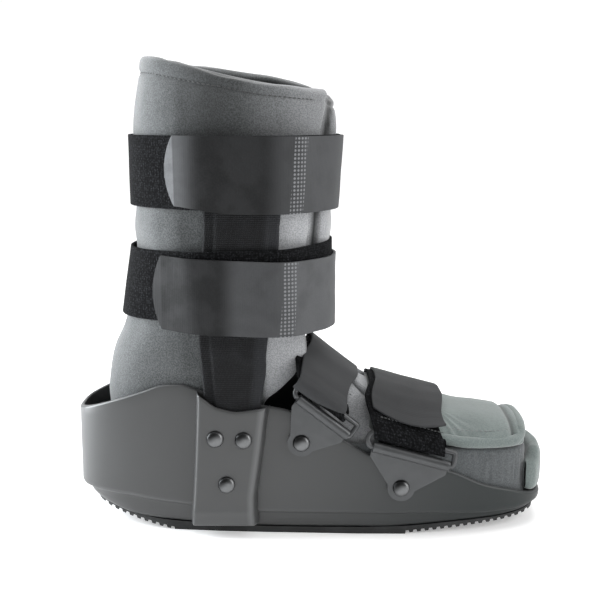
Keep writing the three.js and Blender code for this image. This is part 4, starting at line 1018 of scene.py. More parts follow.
def pocket_surface(bm, side):
    """A raised pocket over an upright: its face, rounded sides, scooped lip and the wall behind the lip."""
    rear = ((-2.4, 0), (-1.8, 0.3), (-1.2, 0.65), (-0.5, 0.9), (0.3, 0.98), (1.2, 1))
    front = ((-1.6, 1), (-0.6, 0.98), (0.4, 0.9), (1.4, 0.68), (2.4, 0.36), (3.2, 0))
    across = [("rear", x, depth) for x, depth in rear]
    across += [(share / 12, 0, 1) for share in range(1, 12)]
    across += [("front", x, depth) for x, depth in front]
    feet = [(0, 0), (0.1, 0.5), (0.5, 0.85), (1.3, 0.97), (2.4, 1.0)]
    shares = [0.04, 0.08, 0.1, 0.115, 0.13, 0.16, 0.24, 0.34, 0.44, 0.54, 0.64, 0.74, 0.84, 0.92, 0.97]
    lip = [("lip", math.pi * step / 8) for step in range(9)]
    rows = [("foot", f) for f in feet] + [("face", s) for s in shares] + lip + [("back", 8.0), ("back", 22.0)]

    def place(u, v):
        edge, offset, cross = across[round(u * (len(across) - 1))]
        kind, value = rows[round(v * (len(rows) - 1))]

        def height(x_share):
            top = POCKET_TOP - follow(POCKET_SCOOP, clamp(x_share))
            if kind == "foot":
                return POCKET_FOOT + value[0]
            if kind == "face":
                return mix(POCKET_FOOT + feet[-1][0], top - 1.5, value)
            if kind == "lip":
                return top - 1.5 + 1.5 * math.sin(value)
            return top - value

        def edges(level):
            rear, front, _ = upright_at(max(level, UPRIGHT_FOOT))
            rear -= POCKET_LIP * follow(POCKET_REAR_LIP, level / POCKET_TOP)
            return rear, front + POCKET_LIP * follow(POCKET_FRONT_LIP, level / POCKET_TOP)

        rear, front = edges(height(0.0))[0], edges(height(1.0))[1]
        if edge == "rear":
            x, x_share = rear + offset, clamp(offset / (front - rear))
        elif edge == "front":
            x, x_share = front + offset, clamp(1 + offset / (front - rear))
        else:
            x, x_share = mix(rear + 1.2, front - 1.6, edge), edge
        z = height(x_share)
        depth = cross * (value[1] if kind == "foot" else 1)
        wall = min(half_width(x), UPRIGHT_ROOM + 3) - 1.4
        face = POCKET_FACE - 0.9 * (1 - smooth(z, 16.5, 19))
        y = mix(wall, face, depth)
        if kind == "lip":
            y -= 1.5 - 1.5 * math.cos(value)
        if kind == "back":
            y -= 3.0
        return (x, side * max(y, wall - 1), z)

    grid(bm, (len(across) - 1, len(rows) - 1), place)


class MakeShell(bpy.types.Operator):
    """Make the moulded shell with its two pockets"""

    bl_idname = "boot.make_shell"
    bl_label = "Make Shell"

    def execute(self, context):
        bm = bmesh.new()
        shell_surface(bm)
        weld(bm)
        shell = piece("boot_shell", bm, shell_plastic(), ["shell"])
        # Painted highlights along the crease and the rim, stored as 'edge'.
        paint(shell, "edge", [painted_edge_highlight(point) for point in coordinates(shell.data) / MM])
        for label, side in (("near", -1), ("far", 1)):
            bm = bmesh.new()
            pocket_surface(bm, side)
            weld(bm)
            faces = [f for f in bm.faces if f.calc_center_median().z < POCKET_TOP * 0.6 * MM]
            outward = sum(f.normal.y * side * f.calc_area() for f in faces)
            if outward < 0:
                bmesh.ops.reverse_faces(bm, faces=bm.faces)
            pocket = piece(f"shell_pocket_{label}", bm, shell_plastic(), ())
            # Painted highlights: faint ones along the pocket's shoulders and a strong one along its front
            # edge, stored as 'edge'.
            low, high = POCKET_FACE - 2.2, POCKET_FACE - 0.3
            x, y, z = (coordinates(pocket.data) / MM).T
            outer = np.abs(y) > low
            shoulders = 1 - np.abs(2 * smooth_all(np.abs(y), low, high + 0.8) - 1)
            fronts = np.array([x[outer & (np.abs(z - height) < 3)].max(initial=0.0) for height in z])
            lit = np.exp(-(((x - fronts + 2.2) / 1.7) ** 2)) * outer
            paint(pocket, "edge", np.maximum(0.35 * shoulders, 1.3 * lit))
            backing = pocket.modifiers.new("Backing", "SOLIDIFY")
            backing.thickness = 0.6 * MM
            backing.offset = -1
        return {"FINISHED"}


class MakeSole(bpy.types.Operator):
    """Finish the ribbed rubber sole"""

    bl_idname = "boot.make_sole"
    bl_label = "Make Sole"

    def execute(self, context):
        sole = frame["nodes"]["outsole"]
        sole.data.materials.clear()
        sole.data.materials.append(rubber())
        return {"FINISHED"}


class MakeUprights(bpy.types.Operator):
    """Make the woven sleeves of the two uprights"""

    bl_idname = "boot.make_uprights"
    bl_label = "Make Uprights"

    def execute(self, context):
        for label, side in (("near", -1), ("far", 1)):
            hem, thick, thin = 7.0, 5.0, 3.6

            def place(u, v, side=side):
                z = mix(UPRIGHT_FOOT, UPRIGHT_TOP, v)
                rear, front, inner = upright_at(z)
                rear += 0.5 * soft_noise((0, 0, z), 14, 3)
                front += 0.7 * soft_noise((5, 0, z), 12, 8)
                width = front - rear
                outer = u < 0.5
                share = u * 2 if outer else 2 - u * 2
                x = rear + width * share
                from_edge = min(x - rear, front - x)
                rim = math.sqrt(clamp(1 - (1 - clamp(from_edge / 1.2)) ** 2))
                body = mix(thin, thick, smooth(from_edge, hem - 1.2, hem + 0.6)) - 0.7 * math.exp(
                    -((from_edge - hem) ** 2) / 0.5
                )
                body += 0.25 * soft_noise((x, 3, z), 9, 2)
                middle = inner + thin / 2
                y = middle + (body - thin / 2) * rim if outer else middle - thin / 2 * rim
                return (x, side * y, z)

            bm = bmesh.new()
            grid(bm, (96, 150), place, (96, UPRIGHT_TOP - UPRIGHT_FOOT))
            weld(bm)
            bmesh.ops.holes_fill(bm, edges=bm.edges, sides=0)
            bmesh.ops.recalc_face_normals(bm, faces=bm.faces)
            piece(f"sleeve_{label}", bm, sleeve_weave(), [f"upright_{label}"])
        return {"FINISHED"}


class MakeLegWrap(bpy.types.Operator):
    """Make the padded leg wrap with its hem"""

    bl_idname = "boot.make_leg_wrap"
    bl_label = "Make Leg Wrap"

    def execute(self, context):
        bm = bmesh.new()
        leg_wrap_surface(bm)
        weld(bm, 0.01)
        wrap = piece("leg_wrap", bm, liner_cloth("liner", 0.38), ["liner_leg"])
        swell(wrap, 4.0, 1.2)
        finer = wrap.modifiers.new("Finer", "SUBSURF")
        finer.levels = 1
        finer.render_levels = 1
        apply_modifiers(wrap)
        sculpt(wrap, leg_wrap_shape)
        places = coordinates(wrap.data) / MM
        normals = np.zeros(len(places) * 3, np.float32)
        wrap.data.vertex_normals.foreach_get("vector", normals)
        normals = normals.reshape(-1, 3)
        outward = places[:, :2] - np.array([LEG_AXIS, 0.0])
        facing = (outward * normals[:, :2]).sum(1) / np.maximum(np.linalg.norm(outward, axis=1), 1)
        # Painted shadow on the inside faces, in the groove before the near flap's edge and over the middle of
        # the outer face above the upper strap.
        inside = 0.8 * smooth_all(-facing, 0.1, 0.6) * smooth_all(-places[:, 2], -300, -296)
        groove = [min(1.25 * flap_groove(point), 1.0) for point in places]
        x, y, z = places.T
        outer = smooth_all(facing, -0.1, 0.3)
        top = smooth_all(z, 235, 245)
        middle = 0.5 * np.exp(-(((x + 16) / 22) ** 2)) * outer * top
        paint(wrap, "shadow", np.maximum(np.maximum(inside, groove), middle))
        # Paler cloth at the front below the upper strap, and rising towards the front above it: partly a paler
        # cloth, partly painted light.
        low = smooth_all(x, 12, 16) * (1 - top)
        high = (0.12 + 0.3 * smooth_all(x, 2, 46)) * smooth_all(x, -6, 14) * top
        paint(wrap, "bare", outer * (low + high))
        sew_hem(wrap)
        return {"FINISHED"}


def leg_wrap_surface(bm):
    """The wrap's closed wall: up its height in rows, round along its outer face and back along its inner."""
    steps = 84
    round_ways = [("outer", k / steps) for k in range(steps)] + [("far", k / 6) for k in range(6)]
    round_ways += [("inner", k / steps) for k in range(steps)] + [("near", k / 6) for k in range(7)]
    half = LEG_WALL / 2
    levels = [(LEG_FOOT + half * (1 - math.cos(t)), half * (1 - math.sin(t)))
              for t in (math.pi / 2 * k / 3 for k in range(3))]
    levels += [(mix(LEG_FOOT + half, LEG_TOP - half, k / 84), 0.0) for k in range(84)]
    levels += [(LEG_TOP - half + half * math.sin(t), half * (1 - math.cos(t)))
               for t in (math.pi / 2 * k / 7 for k in range(8))]

    def place(u, v):
        part, share = round_ways[round(u * (len(round_ways) - 1))]
        z, round_off = levels[round(v * (len(levels) - 1))]
        return leg_wall(part, share, z, round_off)

    grid(bm, (len(round_ways) - 1, len(levels) - 1), place)


def flap_groove(point):
    """How deep a point lies in the groove before the near flap's edge."""
    x, y, z = point
    if y > 2 or x < 20:
        return 0.0
    edge = LEG_FRONT * leg_at("edge", z + (LEG_TOP - leg_rim(x)) * smooth(z, LEG_SLANT_FROM, LEG_TOP))
    return math.exp(-(((x - edge - 3.0) / 2.3) ** 2)) * smooth(x, edge - 0.4, edge + 0.8)


def leg_wrap_shape(places, normals):
    """Pulls the wrap in under the straps and the hem seam, and lets it swell between them."""
    x, y, z = places.T
    rim = np.array([leg_rim(p[0]) + rim_shift(p[0], p[1]) for p in places])
    hem = np.array([follow(HEM_DEPTHS, value) for value in x])
    seam = np.exp(-(((z - rim + hem) / 1.5) ** 2))
    roll = np.exp(-(((z - rim + hem / 2) / 3.2) ** 2))
    clear = smooth_all(np.abs(x + 5), 26, 36)
    swollen = 0.0
    for height, width, rise in LEG_SWELLS:
        swollen = swollen + rise * np.exp(-(((z - height) / width) ** 2))
    waves = np.array([soft_noise(p, 34, 4) for p in places])
    small = np.array([soft_noise(p * np.array([1, 1, 0.6]), 11, 9) for p in places])
    depth = swollen * np.maximum(clear, 0.0) + 0.8 * waves * clear + 0.25 * small * clear
    groove = np.array([flap_groove(p) for p in places])
    ankle = 1.4 * np.exp(-(((z - 126) / 13) ** 2)) * smooth_all(x, 22, 34)
    depth += 0.5 * roll - 1.25 * seam - 1.7 * groove + ankle
    return places + normals * depth[:, None]


def sew_hem(wrap):
    """Stitches along the seam under the wrap's top edge, seated on its surface."""
    sizes = bpy.context.scene.boot_sizes
    tree = tree_of(wrap)
    points = []
    for degree in range(38, 330, 2):
        turn = math.radians(degree)
        direction = Vector((math.cos(turn), -math.sin(turn), 0))
        x = LEG_AXIS + direction.x * 60
        for _ in range(4):
            z = leg_rim(x) + rim_shift(x, direction.y * 60) - follow(HEM_DEPTHS, x)
            origin = Vector((LEG_AXIS, 0, z)) + direction * 150
            hit = tree.ray_cast(origin * MM, -direction)[0]
            if hit is None:
                break
            x = hit.x / MM
        if hit is not None:
            points.append(hit / MM + direction * 0.15)
    spots = along_line(points, sizes.stitch_pitch)
    stitch_row("hem_stitches", spots, sizes.stitch_length, 0.38, thread("dark", 0.35))


def arch_rows(node):
    """Sections of an arched CAD piece: x with its crown, lower edge and half width."""
    sections = {}
    for vert in frame["nodes"][node].data.vertices:
        sections.setdefault(round(vert.co.x / MM, 1), []).append(vert.co / MM)
    rows = []
    for x, points in sorted(sections.items()):
        if len(points) > 12:
            heights = [p.z for p in points]
            rows.append((x, max(heights), min(heights), max(abs(p.y) for p in points)))
    return rows


def arch_at(rows, x):
    """Crown, edge and half width at x."""
    return tuple(follow([(row[0], row[k]) for row in rows], x) for k in (1, 2, 3))


def arch_height(y, half, edge, crown):
    share = clamp(abs(y) / half)
    return edge + (crown - edge) * (1 - share**VAMP_SQUARENESS) ** (1 / VAMP_SQUARENESS)


def end_round(share, heel_power, toe_power):
    power = heel_power if share < 0.5 else toe_power
    return max(1 - abs(2 * share - 1) ** power, 0) ** (1 / power)


def tray_surface(bm):
    """The tray's outside, its rounded wall tops, its inside and the footbed."""

    def floor(x):
        return max(SHELL_FLOOR_TOP, underside_at(x) + SHELL_WALL) + GAP

    def shoulder(x):
        return max(crease_at(x), floor(x)) + CAVITY_SLOPE_RISE + 2 * GAP

    def top(x):
        return TRAY_HEIGHT * follow(TRAY_LINE, share_at(x))

    round_top = TRAY_WALL / 2
    rows = [(None, floor), (UNDERSIDE_INSET + 4, floor), (UNDERSIDE_INSET + 2 * GAP, floor)]
    rows += [(0.0, lambda x, k=k: mix(shoulder(x), top(x) - round_top, k / 12)) for k in range(13)]
    for k in range(1, 9):
        turn = math.pi * k / 8
        inset = round_top * (1 - math.cos(turn))
        rows.append((inset, lambda x, t=turn: top(x) + round_top * (math.sin(t) - 1)))
    rows += [(TRAY_WALL, lambda x, k=k: mix(top(x) - round_top, FOOTBED_TOP + 2, k / 8)) for k in range(1, 9)]
    rows += [(TRAY_WALL + 2, lambda x: FOOTBED_TOP), (None, lambda x: FOOTBED_TOP)]

    def place(u, v):
        inset, height = rows[round(v * (len(rows) - 1))]
        spine = inset is None
        inset = TRAY_WALL + 2 if spine else inset
        back = inset - TRAY_BACK
        share = 0.5 - 0.5 * math.cos(2 * math.pi * u)
        x = mix(back, TRAY_FRONT - inset, share)
        flat = mix(-TRAY_BACK, TRAY_FRONT, (x - back) / (TRAY_FRONT - inset - back))
        room = half_width(flat) - SHELL_WALL - 2 * GAP - inset
        length = clamp((flat + TRAY_BACK) / (TRAY_BACK + TRAY_FRONT))
        half = 0 if spine else room * end_round(length, HEEL_SQUARENESS, TRAY_FRONT_SQUARENESS)
        return (x, -half if u < 0.5 else half, height(x))

    grid(bm, (260, len(rows) - 1), place)


def toe_roll_surface(bm):
    """The upright roll that closes the liner round the toes."""
    middle = TOE_ROLL_THICKNESS / 2
    first = TRAY_FRONT - 1.5
    tip = SHELL_LENGTH - SHELL_BACK + TOE_ROLL_OVERHANG - middle
    side = half_width(first) + TOE_ROLL_OVERHANG - middle

    def plan(turn):
        x = first + (tip - first) * max(1 - abs(turn) ** TOE_ROLL_SQUARENESS, 0) ** 0.8
        return Vector((x, turn * side))

    def place(u, v):
        turn = mix(-1, 1, u)
        centre = plan(turn)
        ahead, behind = plan(min(turn + 0.02, 1)), plan(max(turn - 0.02, -1))
        out = Vector((ahead.y - behind.y, behind.x - ahead.x)).normalized()
        ends = smooth(abs(turn), 0.96, 1)
        out = out.lerp(Vector((0, math.copysign(1, turn))), ends).normalized()
        run = min(u, 1 - u) / 0.05
        size = math.sqrt(clamp(1 - (1 - clamp(run)) ** 2, 0.16, 1))
        foot = rim_at(centre.x) + 2 * GAP
        half = (TOE_ROLL_TOP - 7.0 * smooth(abs(turn), 0.55, 1) - foot) / 2
        angle = 2 * math.pi * v
        reach = middle * signed_power(math.cos(angle), 0.75) * size
        rise = half * signed_power(math.sin(angle), 0.55) * mix(0.92, 1, size)
        return (centre.x + out.x * reach, centre.y + out.y * reach, foot + half + rise)

    grid(bm, (90, 36), place)


def arch_surface(bm, rows, raised):
    """An arched padded cover, open below, with rounded edges: raised(x, y) lifts its outer face."""
    half_wall = VAMP_WALL / 2
    ways = [("outer", k / 56) for k in range(56)] + [("far", k / 6) for k in range(6)]
    ways += [("inner", k / 56) for k in range(56)] + [("near", k / 6) for k in range(7)]
    first, last = rows[0][0], rows[-1][0]
    body = 46
    stations = [(first + half_wall * (1 - math.cos(t)), half_wall * (1 - math.sin(t)))
                for t in (math.pi / 2 * k / 5 for k in range(5))]
    stations += [(mix(first + half_wall, last - half_wall, k / body), 0.0) for k in range(body)]
    stations += [(last - half_wall + half_wall * math.sin(t), half_wall * (1 - math.cos(t)))
                 for t in (math.pi / 2 * k / 5 for k in range(6))]

    def place(u, v):
        part, share = ways[round(u * (len(ways) - 1))]
        x, round_off = stations[round(v * (len(stations) - 1))]
        crown, edge, half = arch_at(rows, x)
        angle, depth, drop = math.pi * share, round_off, 0.0
        if part == "inner":
            angle, depth = math.pi * (1 - share), VAMP_WALL - round_off
        elif part != "outer":
            turn = math.pi * (share if part == "far" else 1 - share)
            angle = math.pi if part == "far" else 0.0
            depth = half_wall - (half_wall - round_off) * math.cos(turn)
            drop = (half_wall - round_off) * math.sin(turn) * 0.8
        y = -(half - depth) * signed_power(math.cos(angle), 0.86)
        z = arch_height(y, half - depth, edge, crown - depth) - drop
        z += raised(x, y) * clamp(1 - depth / VAMP_WALL)
        return (x, y, z)

    grid(bm, (len(ways) - 1, len(stations) - 1), place)


def swollen_piece(name, surface, material, nodes, cap, subdivide=True):
    """A padded piece from its own surface: welded, blown up by the cloth simulation and smoothed."""
    bm = bmesh.new()
    surface(bm)
    weld(bm, 0.01)
    obj = piece(name, bm, material, nodes)
    swell(obj, 4.0, cap)
    if subdivide:
        finer = obj.modifiers.new("Finer", "SUBSURF")
        finer.levels = 1
        finer.render_levels = 1
        apply_modifiers(obj)
    return obj


class MakeFootLiner(bpy.types.Operator):
    """Make the padded tray, the toe roll, the instep pad and the bound toe flap"""

    bl_idname = "boot.make_foot_liner"
    bl_label = "Make Foot Liner"

    def execute(self, context):
        tray_cloth, flap_cloth = liner_cloth("tray", 0.22), liner_cloth("flap", 0.13)
        tray = swollen_piece("foot_tray", tray_surface, tray_cloth, ["liner_foot"], 0.5)
        sculpt(tray, tray_shape)
        roll = swollen_piece("toe_roll", toe_roll_surface, flap_cloth, ["toe_bumper"], 0.8)
        sculpt(roll, toe_roll_shape)

        def pad_surface(bm):
            def raised(x, y):
                bulge = 6.5 * smooth(x, 60, 70) * (1 - smooth(x, 82, 90))
                return bulge * (1 - smooth(abs(y), 26, 44))

            arch_surface(bm, arch_rows("instep_pad"), raised)

        cloth = liner_cloth("liner", 0.38)
        pad = swollen_piece("instep_cover", pad_surface, cloth, ["instep_pad"], 0.8)
        # The instep pad in the paler cloth, partly painted light.
        paint(pad, "bare", np.full(len(pad.data.vertices), 0.9))

        def flap_surface(bm):
            arch_surface(bm, arch_rows("toe_flap"), lambda x, y: 0.0)

        flap = swollen_piece("toe_cover", flap_surface, flap_cloth, ["toe_flap"], 1.0)
        sculpt(flap, toe_flap_shape)
        x = coordinates(flap.data)[:, 0] / MM
        front = arch_rows("toe_flap")[-1][0]
        groove = 0.75 * np.exp(-(((x - front + 8.3) / 1.7) ** 2))
        paint(flap, "shadow", np.maximum(smooth_all(-x, -96, -90), groove))
        bind_toe_flap()
        bind_instep()
        return {"FINISHED"}


def tray_shape(places, normals):
    """Fine upright wrinkles in the tray's side walls towards the toes."""
    x, _, z = places.T
    outside = smooth_all(np.abs(normals[:, 1]), 0.5, 0.9) * smooth_all(x, 128, 140) * smooth_all(z, 28, 36)
    small = np.array([soft_noise((p[0] / 3.2, p[1], p[2] / 16), 1, 5) for p in places])
    return places + normals * (0.5 * small * outside)[:, None]


def toe_roll_shape(places, normals):
    """Soft dents in the toe roll."""
    dents = np.array([soft_noise(p, 13, 7) for p in places])
    return places + normals * (0.7 * dents)[:, None]


def toe_flap_shape(places, normals):
    """Puckers that spread from the strap, soft waves, and the sunk seams beside the binding."""
    x, y, z = places.T
    front = arch_rows("toe_flap")[-1][0]
    upper = smooth_all(normals[:, 2], -0.1, 0.5)
    fan = np.arctan2(np.abs(y) - 20, x - 122)
    near_strap = smooth_all(-x, -158, -136) * smooth_all(x, 130, 136)
    puckers = np.sin(fan * 26) * near_strap * smooth_all(np.abs(y), 22, 36)
    waves = np.array([soft_noise(p, 22, 12) for p in places])
    groove = np.exp(-(((x - front + 8.0) / 2.3) ** 2))
    depth = upper * (0.45 * puckers + 0.6 * waves) - 2.2 * groove * upper
    return places + normals * depth[:, None]


def bind_toe_flap():
    """The roll round the toe flap's sides and front, with a sewn line inside it."""
    sizes = bpy.context.scene.boot_sizes
    radius = sizes.binding_radius
    rows = arch_rows("toe_flap")
    first, last = rows[0][0], rows[-1][0]
    reach = VAMP_WALL / 2

    def front_line(inset, lift):
        crown, edge, half = arch_at(rows, last - inset)
        points = []
        for step in range(33):
            y = mix(-0.9, 0.9, step / 32) * (half - reach)
            round_off = 3.0 * (abs(y) / (half - reach)) ** 3
            points.append((last - inset - round_off, y,
                           arch_height(y, half - reach + 0.01, edge + 1.5, crown - reach) + lift))
        return points

    def side_line(side, start):
        points = []
        for step in range(22):
            x = mix(start, last - 7.0, step / 21)
            _, edge, half = arch_at(rows, x)
            points.append((x, side * (half - reach + 0.4), edge + 2.4))
        return points

    front = front_line(0.2, 1.6)
    _, edge, half = arch_at(rows, last)
    corners = [(last - 3.0, side * (half - reach - 0.6), edge + 4.0) for side in (-1, 1)]
    whole = side_line(-1, first + 30) + corners[:1] + front + corners[1:] + side_line(1, first + 30)[::-1]
    line = resample(whole, 110)
    cloth = liner_cloth("flap", 0.13)
    binding = tube("toe_flap_binding", line, radius, cloth, 16, squash=0.95)
    sculpt(binding, lambda p, n: p + n * (0.35 * np.array([soft_noise(q, 9, 21) for q in p]))[:, None])
    for side, label in ((-1, "near"), (1, "far")):
        points = []
        for step in range(20):
            x = mix(first + 52, last - 12, step / 19)
            crown, edge, half = arch_at(rows, x)
            z = edge + 9.2
            share = 1 - ((z - edge) / (crown - edge)) ** VAMP_SQUARENESS
            y = half * clamp(share) ** (1 / VAMP_SQUARENESS)
            points.append((x, side * (y + 0.7), z + 0.4))
        stitch_row(f"toe_flap_stitches_{label}", along_line(points, sizes.stitch_pitch), sizes.stitch_length,
                   0.32, thread("pale", 1.3))


def bind_instep():
    """The rolled edge that crosses the instep between the two foot straps."""
    rows = arch_rows("instep_pad")
    points = []
    for step in range(31):
        turn = mix(-1, 1, step / 30)
        x = 66.0 + 19.0 * smooth(abs(turn), 0.3, 0.8)
        crown, edge, half = arch_at(rows, x)
        y = turn * half * 0.86
        bulge = 6.5 * smooth(x, 60, 70) * (1 - smooth(x, 82, 90)) * (1 - smooth(abs(y), 26, 44))
        points.append((x, y, arch_height(y, half, edge, crown) + bulge + 0.8))
    roll = tube("instep_binding", resample(points, 70), 2.6, liner_cloth("liner", 0.38), 12)
    # The binding in the paler cloth, partly painted light.
    paint(roll, "bare", np.full(len(roll.data.vertices), 0.55))


def resample(points, count):
    """Even places along a line that is first rounded at its corners."""
    line = [Vector(p) for p in points]
    for _ in range(2):
        cut = [line[0]]
        for a, b in zip(line, line[1:]):
            cut += [a.lerp(b, 0.25), a.lerp(b, 0.75)]
        line = cut + [line[-1]]
    lengths = [0.0]
    for a, b in zip(line, line[1:]):
        lengths.append(lengths[-1] + (b - a).length)
    result, k = [], 0
    for step in range(count + 1):
        goal = lengths[-1] * step / count
        while k < len(line) - 2 and lengths[k + 1] < goal:
            k += 1
        span = max(lengths[k + 1] - lengths[k], 1e-9)
        result.append(line[k].lerp(line[k + 1], clamp((goal - lengths[k]) / span)))
    return result


def band_reach(name, count=120):
    """Outer reach of a CAD band from the leg's axis near its lower and upper edge, evened out round it."""
    strap = LEG_STRAPS[name]
    tree = tree_of(frame["nodes"][f"strap_{name}_band"])
    reaches = []
    for i in range(count):
        turn = 2 * math.pi * i / count
        direction = Vector((math.cos(turn), -math.sin(turn), 0))
        middle = mix(strap["front"], strap["back"], (1 - math.cos(turn)) / 2)
        pair = []
        for edge in (-0.45, 0.45):
            origin = Vector((LEG_AXIS, 0, middle + edge * STRAP_WIDTH)) + direction * 150
            hit = tree.ray_cast(origin * MM, -direction)[0]
            if hit is None:
                raise RuntimeError(f"the band {name} wasn't found at {turn}")
            pair.append((Vector(hit.xy) / MM - Vector((LEG_AXIS, 0))).length)
        reaches.append(pair)
    values = np.array(reaches)
    kernel = np.array([1, 2, 3, 4, 3, 2, 1]) / 16
    evened = sum(weight * np.roll(values, k - 3, 0) for k, weight in enumerate(kernel))
    return evened


def reach_at(reaches, turn, edge):
    """Reach at an angle, at a share of the width from -0.5 to 0.5."""
    position = (turn / (2 * math.pi)) % 1 * len(reaches)
    i = int(position) % len(reaches)
    low, high = mix(reaches[i], reaches[(i + 1) % len(reaches)], position - int(position))
    return mix(low, high, (edge + 0.45) / 0.9)


def round_leg(reach, turn, z):
    return (LEG_AXIS + reach * math.cos(turn), -reach * math.sin(turn), z)


class MakeLegStraps(bpy.types.Operator):
    """Make the loop bands round the leg and the coated closures over them"""

    bl_idname = "boot.make_leg_straps"
    bl_label = "Make Leg Straps"

    def execute(self, context):
        for name, strap in LEG_STRAPS.items():
            reaches = band_reach(name)

            def middle(turn, strap=strap):
                return mix(strap["front"], strap["back"], (1 - math.cos(turn)) / 2)

            def band(u, v, reaches=reaches, middle=middle):
                turn = 2 * math.pi * u
                sag = 0.3 * soft_noise((math.cos(turn) * 60, math.sin(turn) * 60, v * 30), 16, 6)
                edge = mix(-0.458, 0.5, v)
                return round_leg(reach_at(reaches, turn, edge) - BAND_THICKNESS / 2 + sag, turn,
                                 middle(turn) + edge * STRAP_WIDTH)

            bm = bmesh.new()
            around = 2 * math.pi * 66
            grid(bm, (260, 16), band, (around, STRAP_WIDTH))
            weld(bm)
            made = piece(f"{name}_band", bm, loop_webbing(), [f"strap_{name}_band"])
            thicken(made, BAND_THICKNESS, 0.5)
            self.closure(name, strap, reaches, middle)
        return {"FINISHED"}

    def closure(self, name, strap, reaches, middle):
        tab, end = math.radians(strap["tab"]), math.radians(strap["end"])
        radius = (STRAP_WIDTH**2 / 4 + TAB_ARC**2) / (2 * TAB_ARC)
        length = (tab - end) * 64
        rise = 1.55

        def place(u, v):
            run = u**1.4
            turn = mix(tab, end, run)
            sunk = clamp(run * length, 0.25, TAB_ARC)
            narrow = 2 * math.sqrt(2 * radius * sunk - sunk**2) / STRAP_WIDTH
            shift = mix(strap["shift_front"], strap["shift_back"], (1 - math.cos(turn)) / 2)
            edge = (v - 0.5) * min(narrow, 1.0)
            rising = strap["rising"] * (1 - smooth(run * length, 4, 46)) * (0.5 - edge)
            z = middle(turn) + shift + edge * STRAP_WIDTH + rising
            at = (z - middle(turn)) / STRAP_WIDTH
            reach = reach_at(reaches, turn, at) + rise
            reach += closure_wrinkles(name, run * length, edge * STRAP_WIDTH)
            return round_leg(reach, turn, z)

        bm = bmesh.new()
        steps = (240, 40)
        verts = grid(bm, steps, place, (1, STRAP_WIDTH))
        uv = bm.loops.layers.uv.verify()
        for vert in verts:
            for loop in vert.link_loops:
                loop[uv].uv.x = (loop[uv].uv.x / MM) ** 1.4 * length * MM
        bmesh.ops.recalc_face_normals(bm, faces=bm.faces)
        looks = {
            "upper": ("upper", 8.5, 4.0, 0.85, 3.6, 0.066, 0.0815),
            "lower": ("lower", 1.5, 0.6, 0.95, 4.9, 0.052, 0.0885),
        }[name]
        made = piece(f"{name}_closure", bm, coated_strap(*looks), [f"strap_{name}_closure"])
        thicken(made, CLOSURE_THICKNESS, 0.45)


def closure_wrinkles(name, along, across):
    """How far a leg closure stands out or in: soft folds where it bends over the upright."""
    amount = 0.45 if name == "lower" else 0.15
    bowl = across + 0.02 * (along - 62) ** 2
    folds = math.sin(bowl / 1.9) * math.exp(-(((along - 62) / 11) ** 2)) * smooth(-across, -18, 0)
    swells = soft_noise((along, across, 0), 15, 2)
    return amount * (0.5 * folds + 1.2 * swells) * smooth(along, 4, 16)


def strap_frame(strap):
    """Turns a foot strap's own axes (along its roll, across the boot, upwards) into the boot's."""
    cos, sin = math.cos(math.radians(strap["slope"])), math.sin(math.radians(strap["slope"]))
    return lambda s, y, h: Vector((strap["x"] + s * cos + h * sin, y, strap["z"] - s * sin + h * cos))


def bracket_seat(strap):
    half = strap["roll"] / 2 * math.cos(math.radians(strap["slope"]))
    return max(half_width(strap["x"] + share * half) for share in (-1, -0.5, 0, 0.5, 1)) + GAP


def bar_depth(strap):
    return bracket_seat(strap) + BRACKET_ROLL - RING_LEAN_IN


def bedding(strap):
    """Half width, lower edge and crown of what a foot strap lies on, in its own axes."""
    rows = arch_rows(strap["bed"])
    slope = math.radians(strap["slope"])
    near = [row for row in rows if abs(row[0] - strap["x"]) < strap["roll"] / 2 + 12]
    crown = max(row[1] - strap["z"] + (row[0] - strap["x"]) * math.tan(slope) for row in near)
    half = max(row[3] for row in near)
    edge = arch_at(rows, strap["x"])[1] - strap["z"]
    return half, edge * math.cos(slope), crown * math.cos(slope)


def strap_line(strap):
    """Middle line of a foot strap's webbing as (y, h) places with directions out of it, 1 mm apart."""
    half, edge, crown = bedding(strap)
    lift = strap["lift"] + WEBBING_THICKNESS / 2
    bar = bar_depth(strap)
    hook = RING_WIRE + GAP + WEBBING_THICKNESS / 2
    points = [(-bar + hook, RING_RISE + 2 * hook)]
    for i in range(9):
        turn = -math.pi * i / 8
        points.append((-bar + hook * math.cos(turn), RING_RISE + hook * math.sin(turn)))
    points.append((-bar - hook, RING_RISE + hook))
    for i in range(25):
        y = math.cos(mix(math.radians(168), math.radians(12), i / 24)) * (half + lift)
        h = arch_height(y, half + lift, edge, crown + lift)
        if h > (RING_RISE + 4 * hook if y < 0 else BRACKET_ROLL):
            points.append((y, h))
    wall = bracket_seat(strap) + GAP + WEBBING_THICKNESS / 2
    points += [(wall, -BRACKET_ROLL), (wall, -strap["drop"] / 2), (wall, -strap["drop"] - 8)]
    length = sum(math.dist(a, b) for a, b in zip(points, points[1:]))
    line = resample([(y, h, 0) for y, h in points], int(length))
    result = []
    for i, point in enumerate(line):
        along = (line[min(i + 1, len(line) - 1)] - line[max(i - 1, 0)]).normalized()
        result.append((point.x, point.y, -along.y, along.x))
    return result, crown


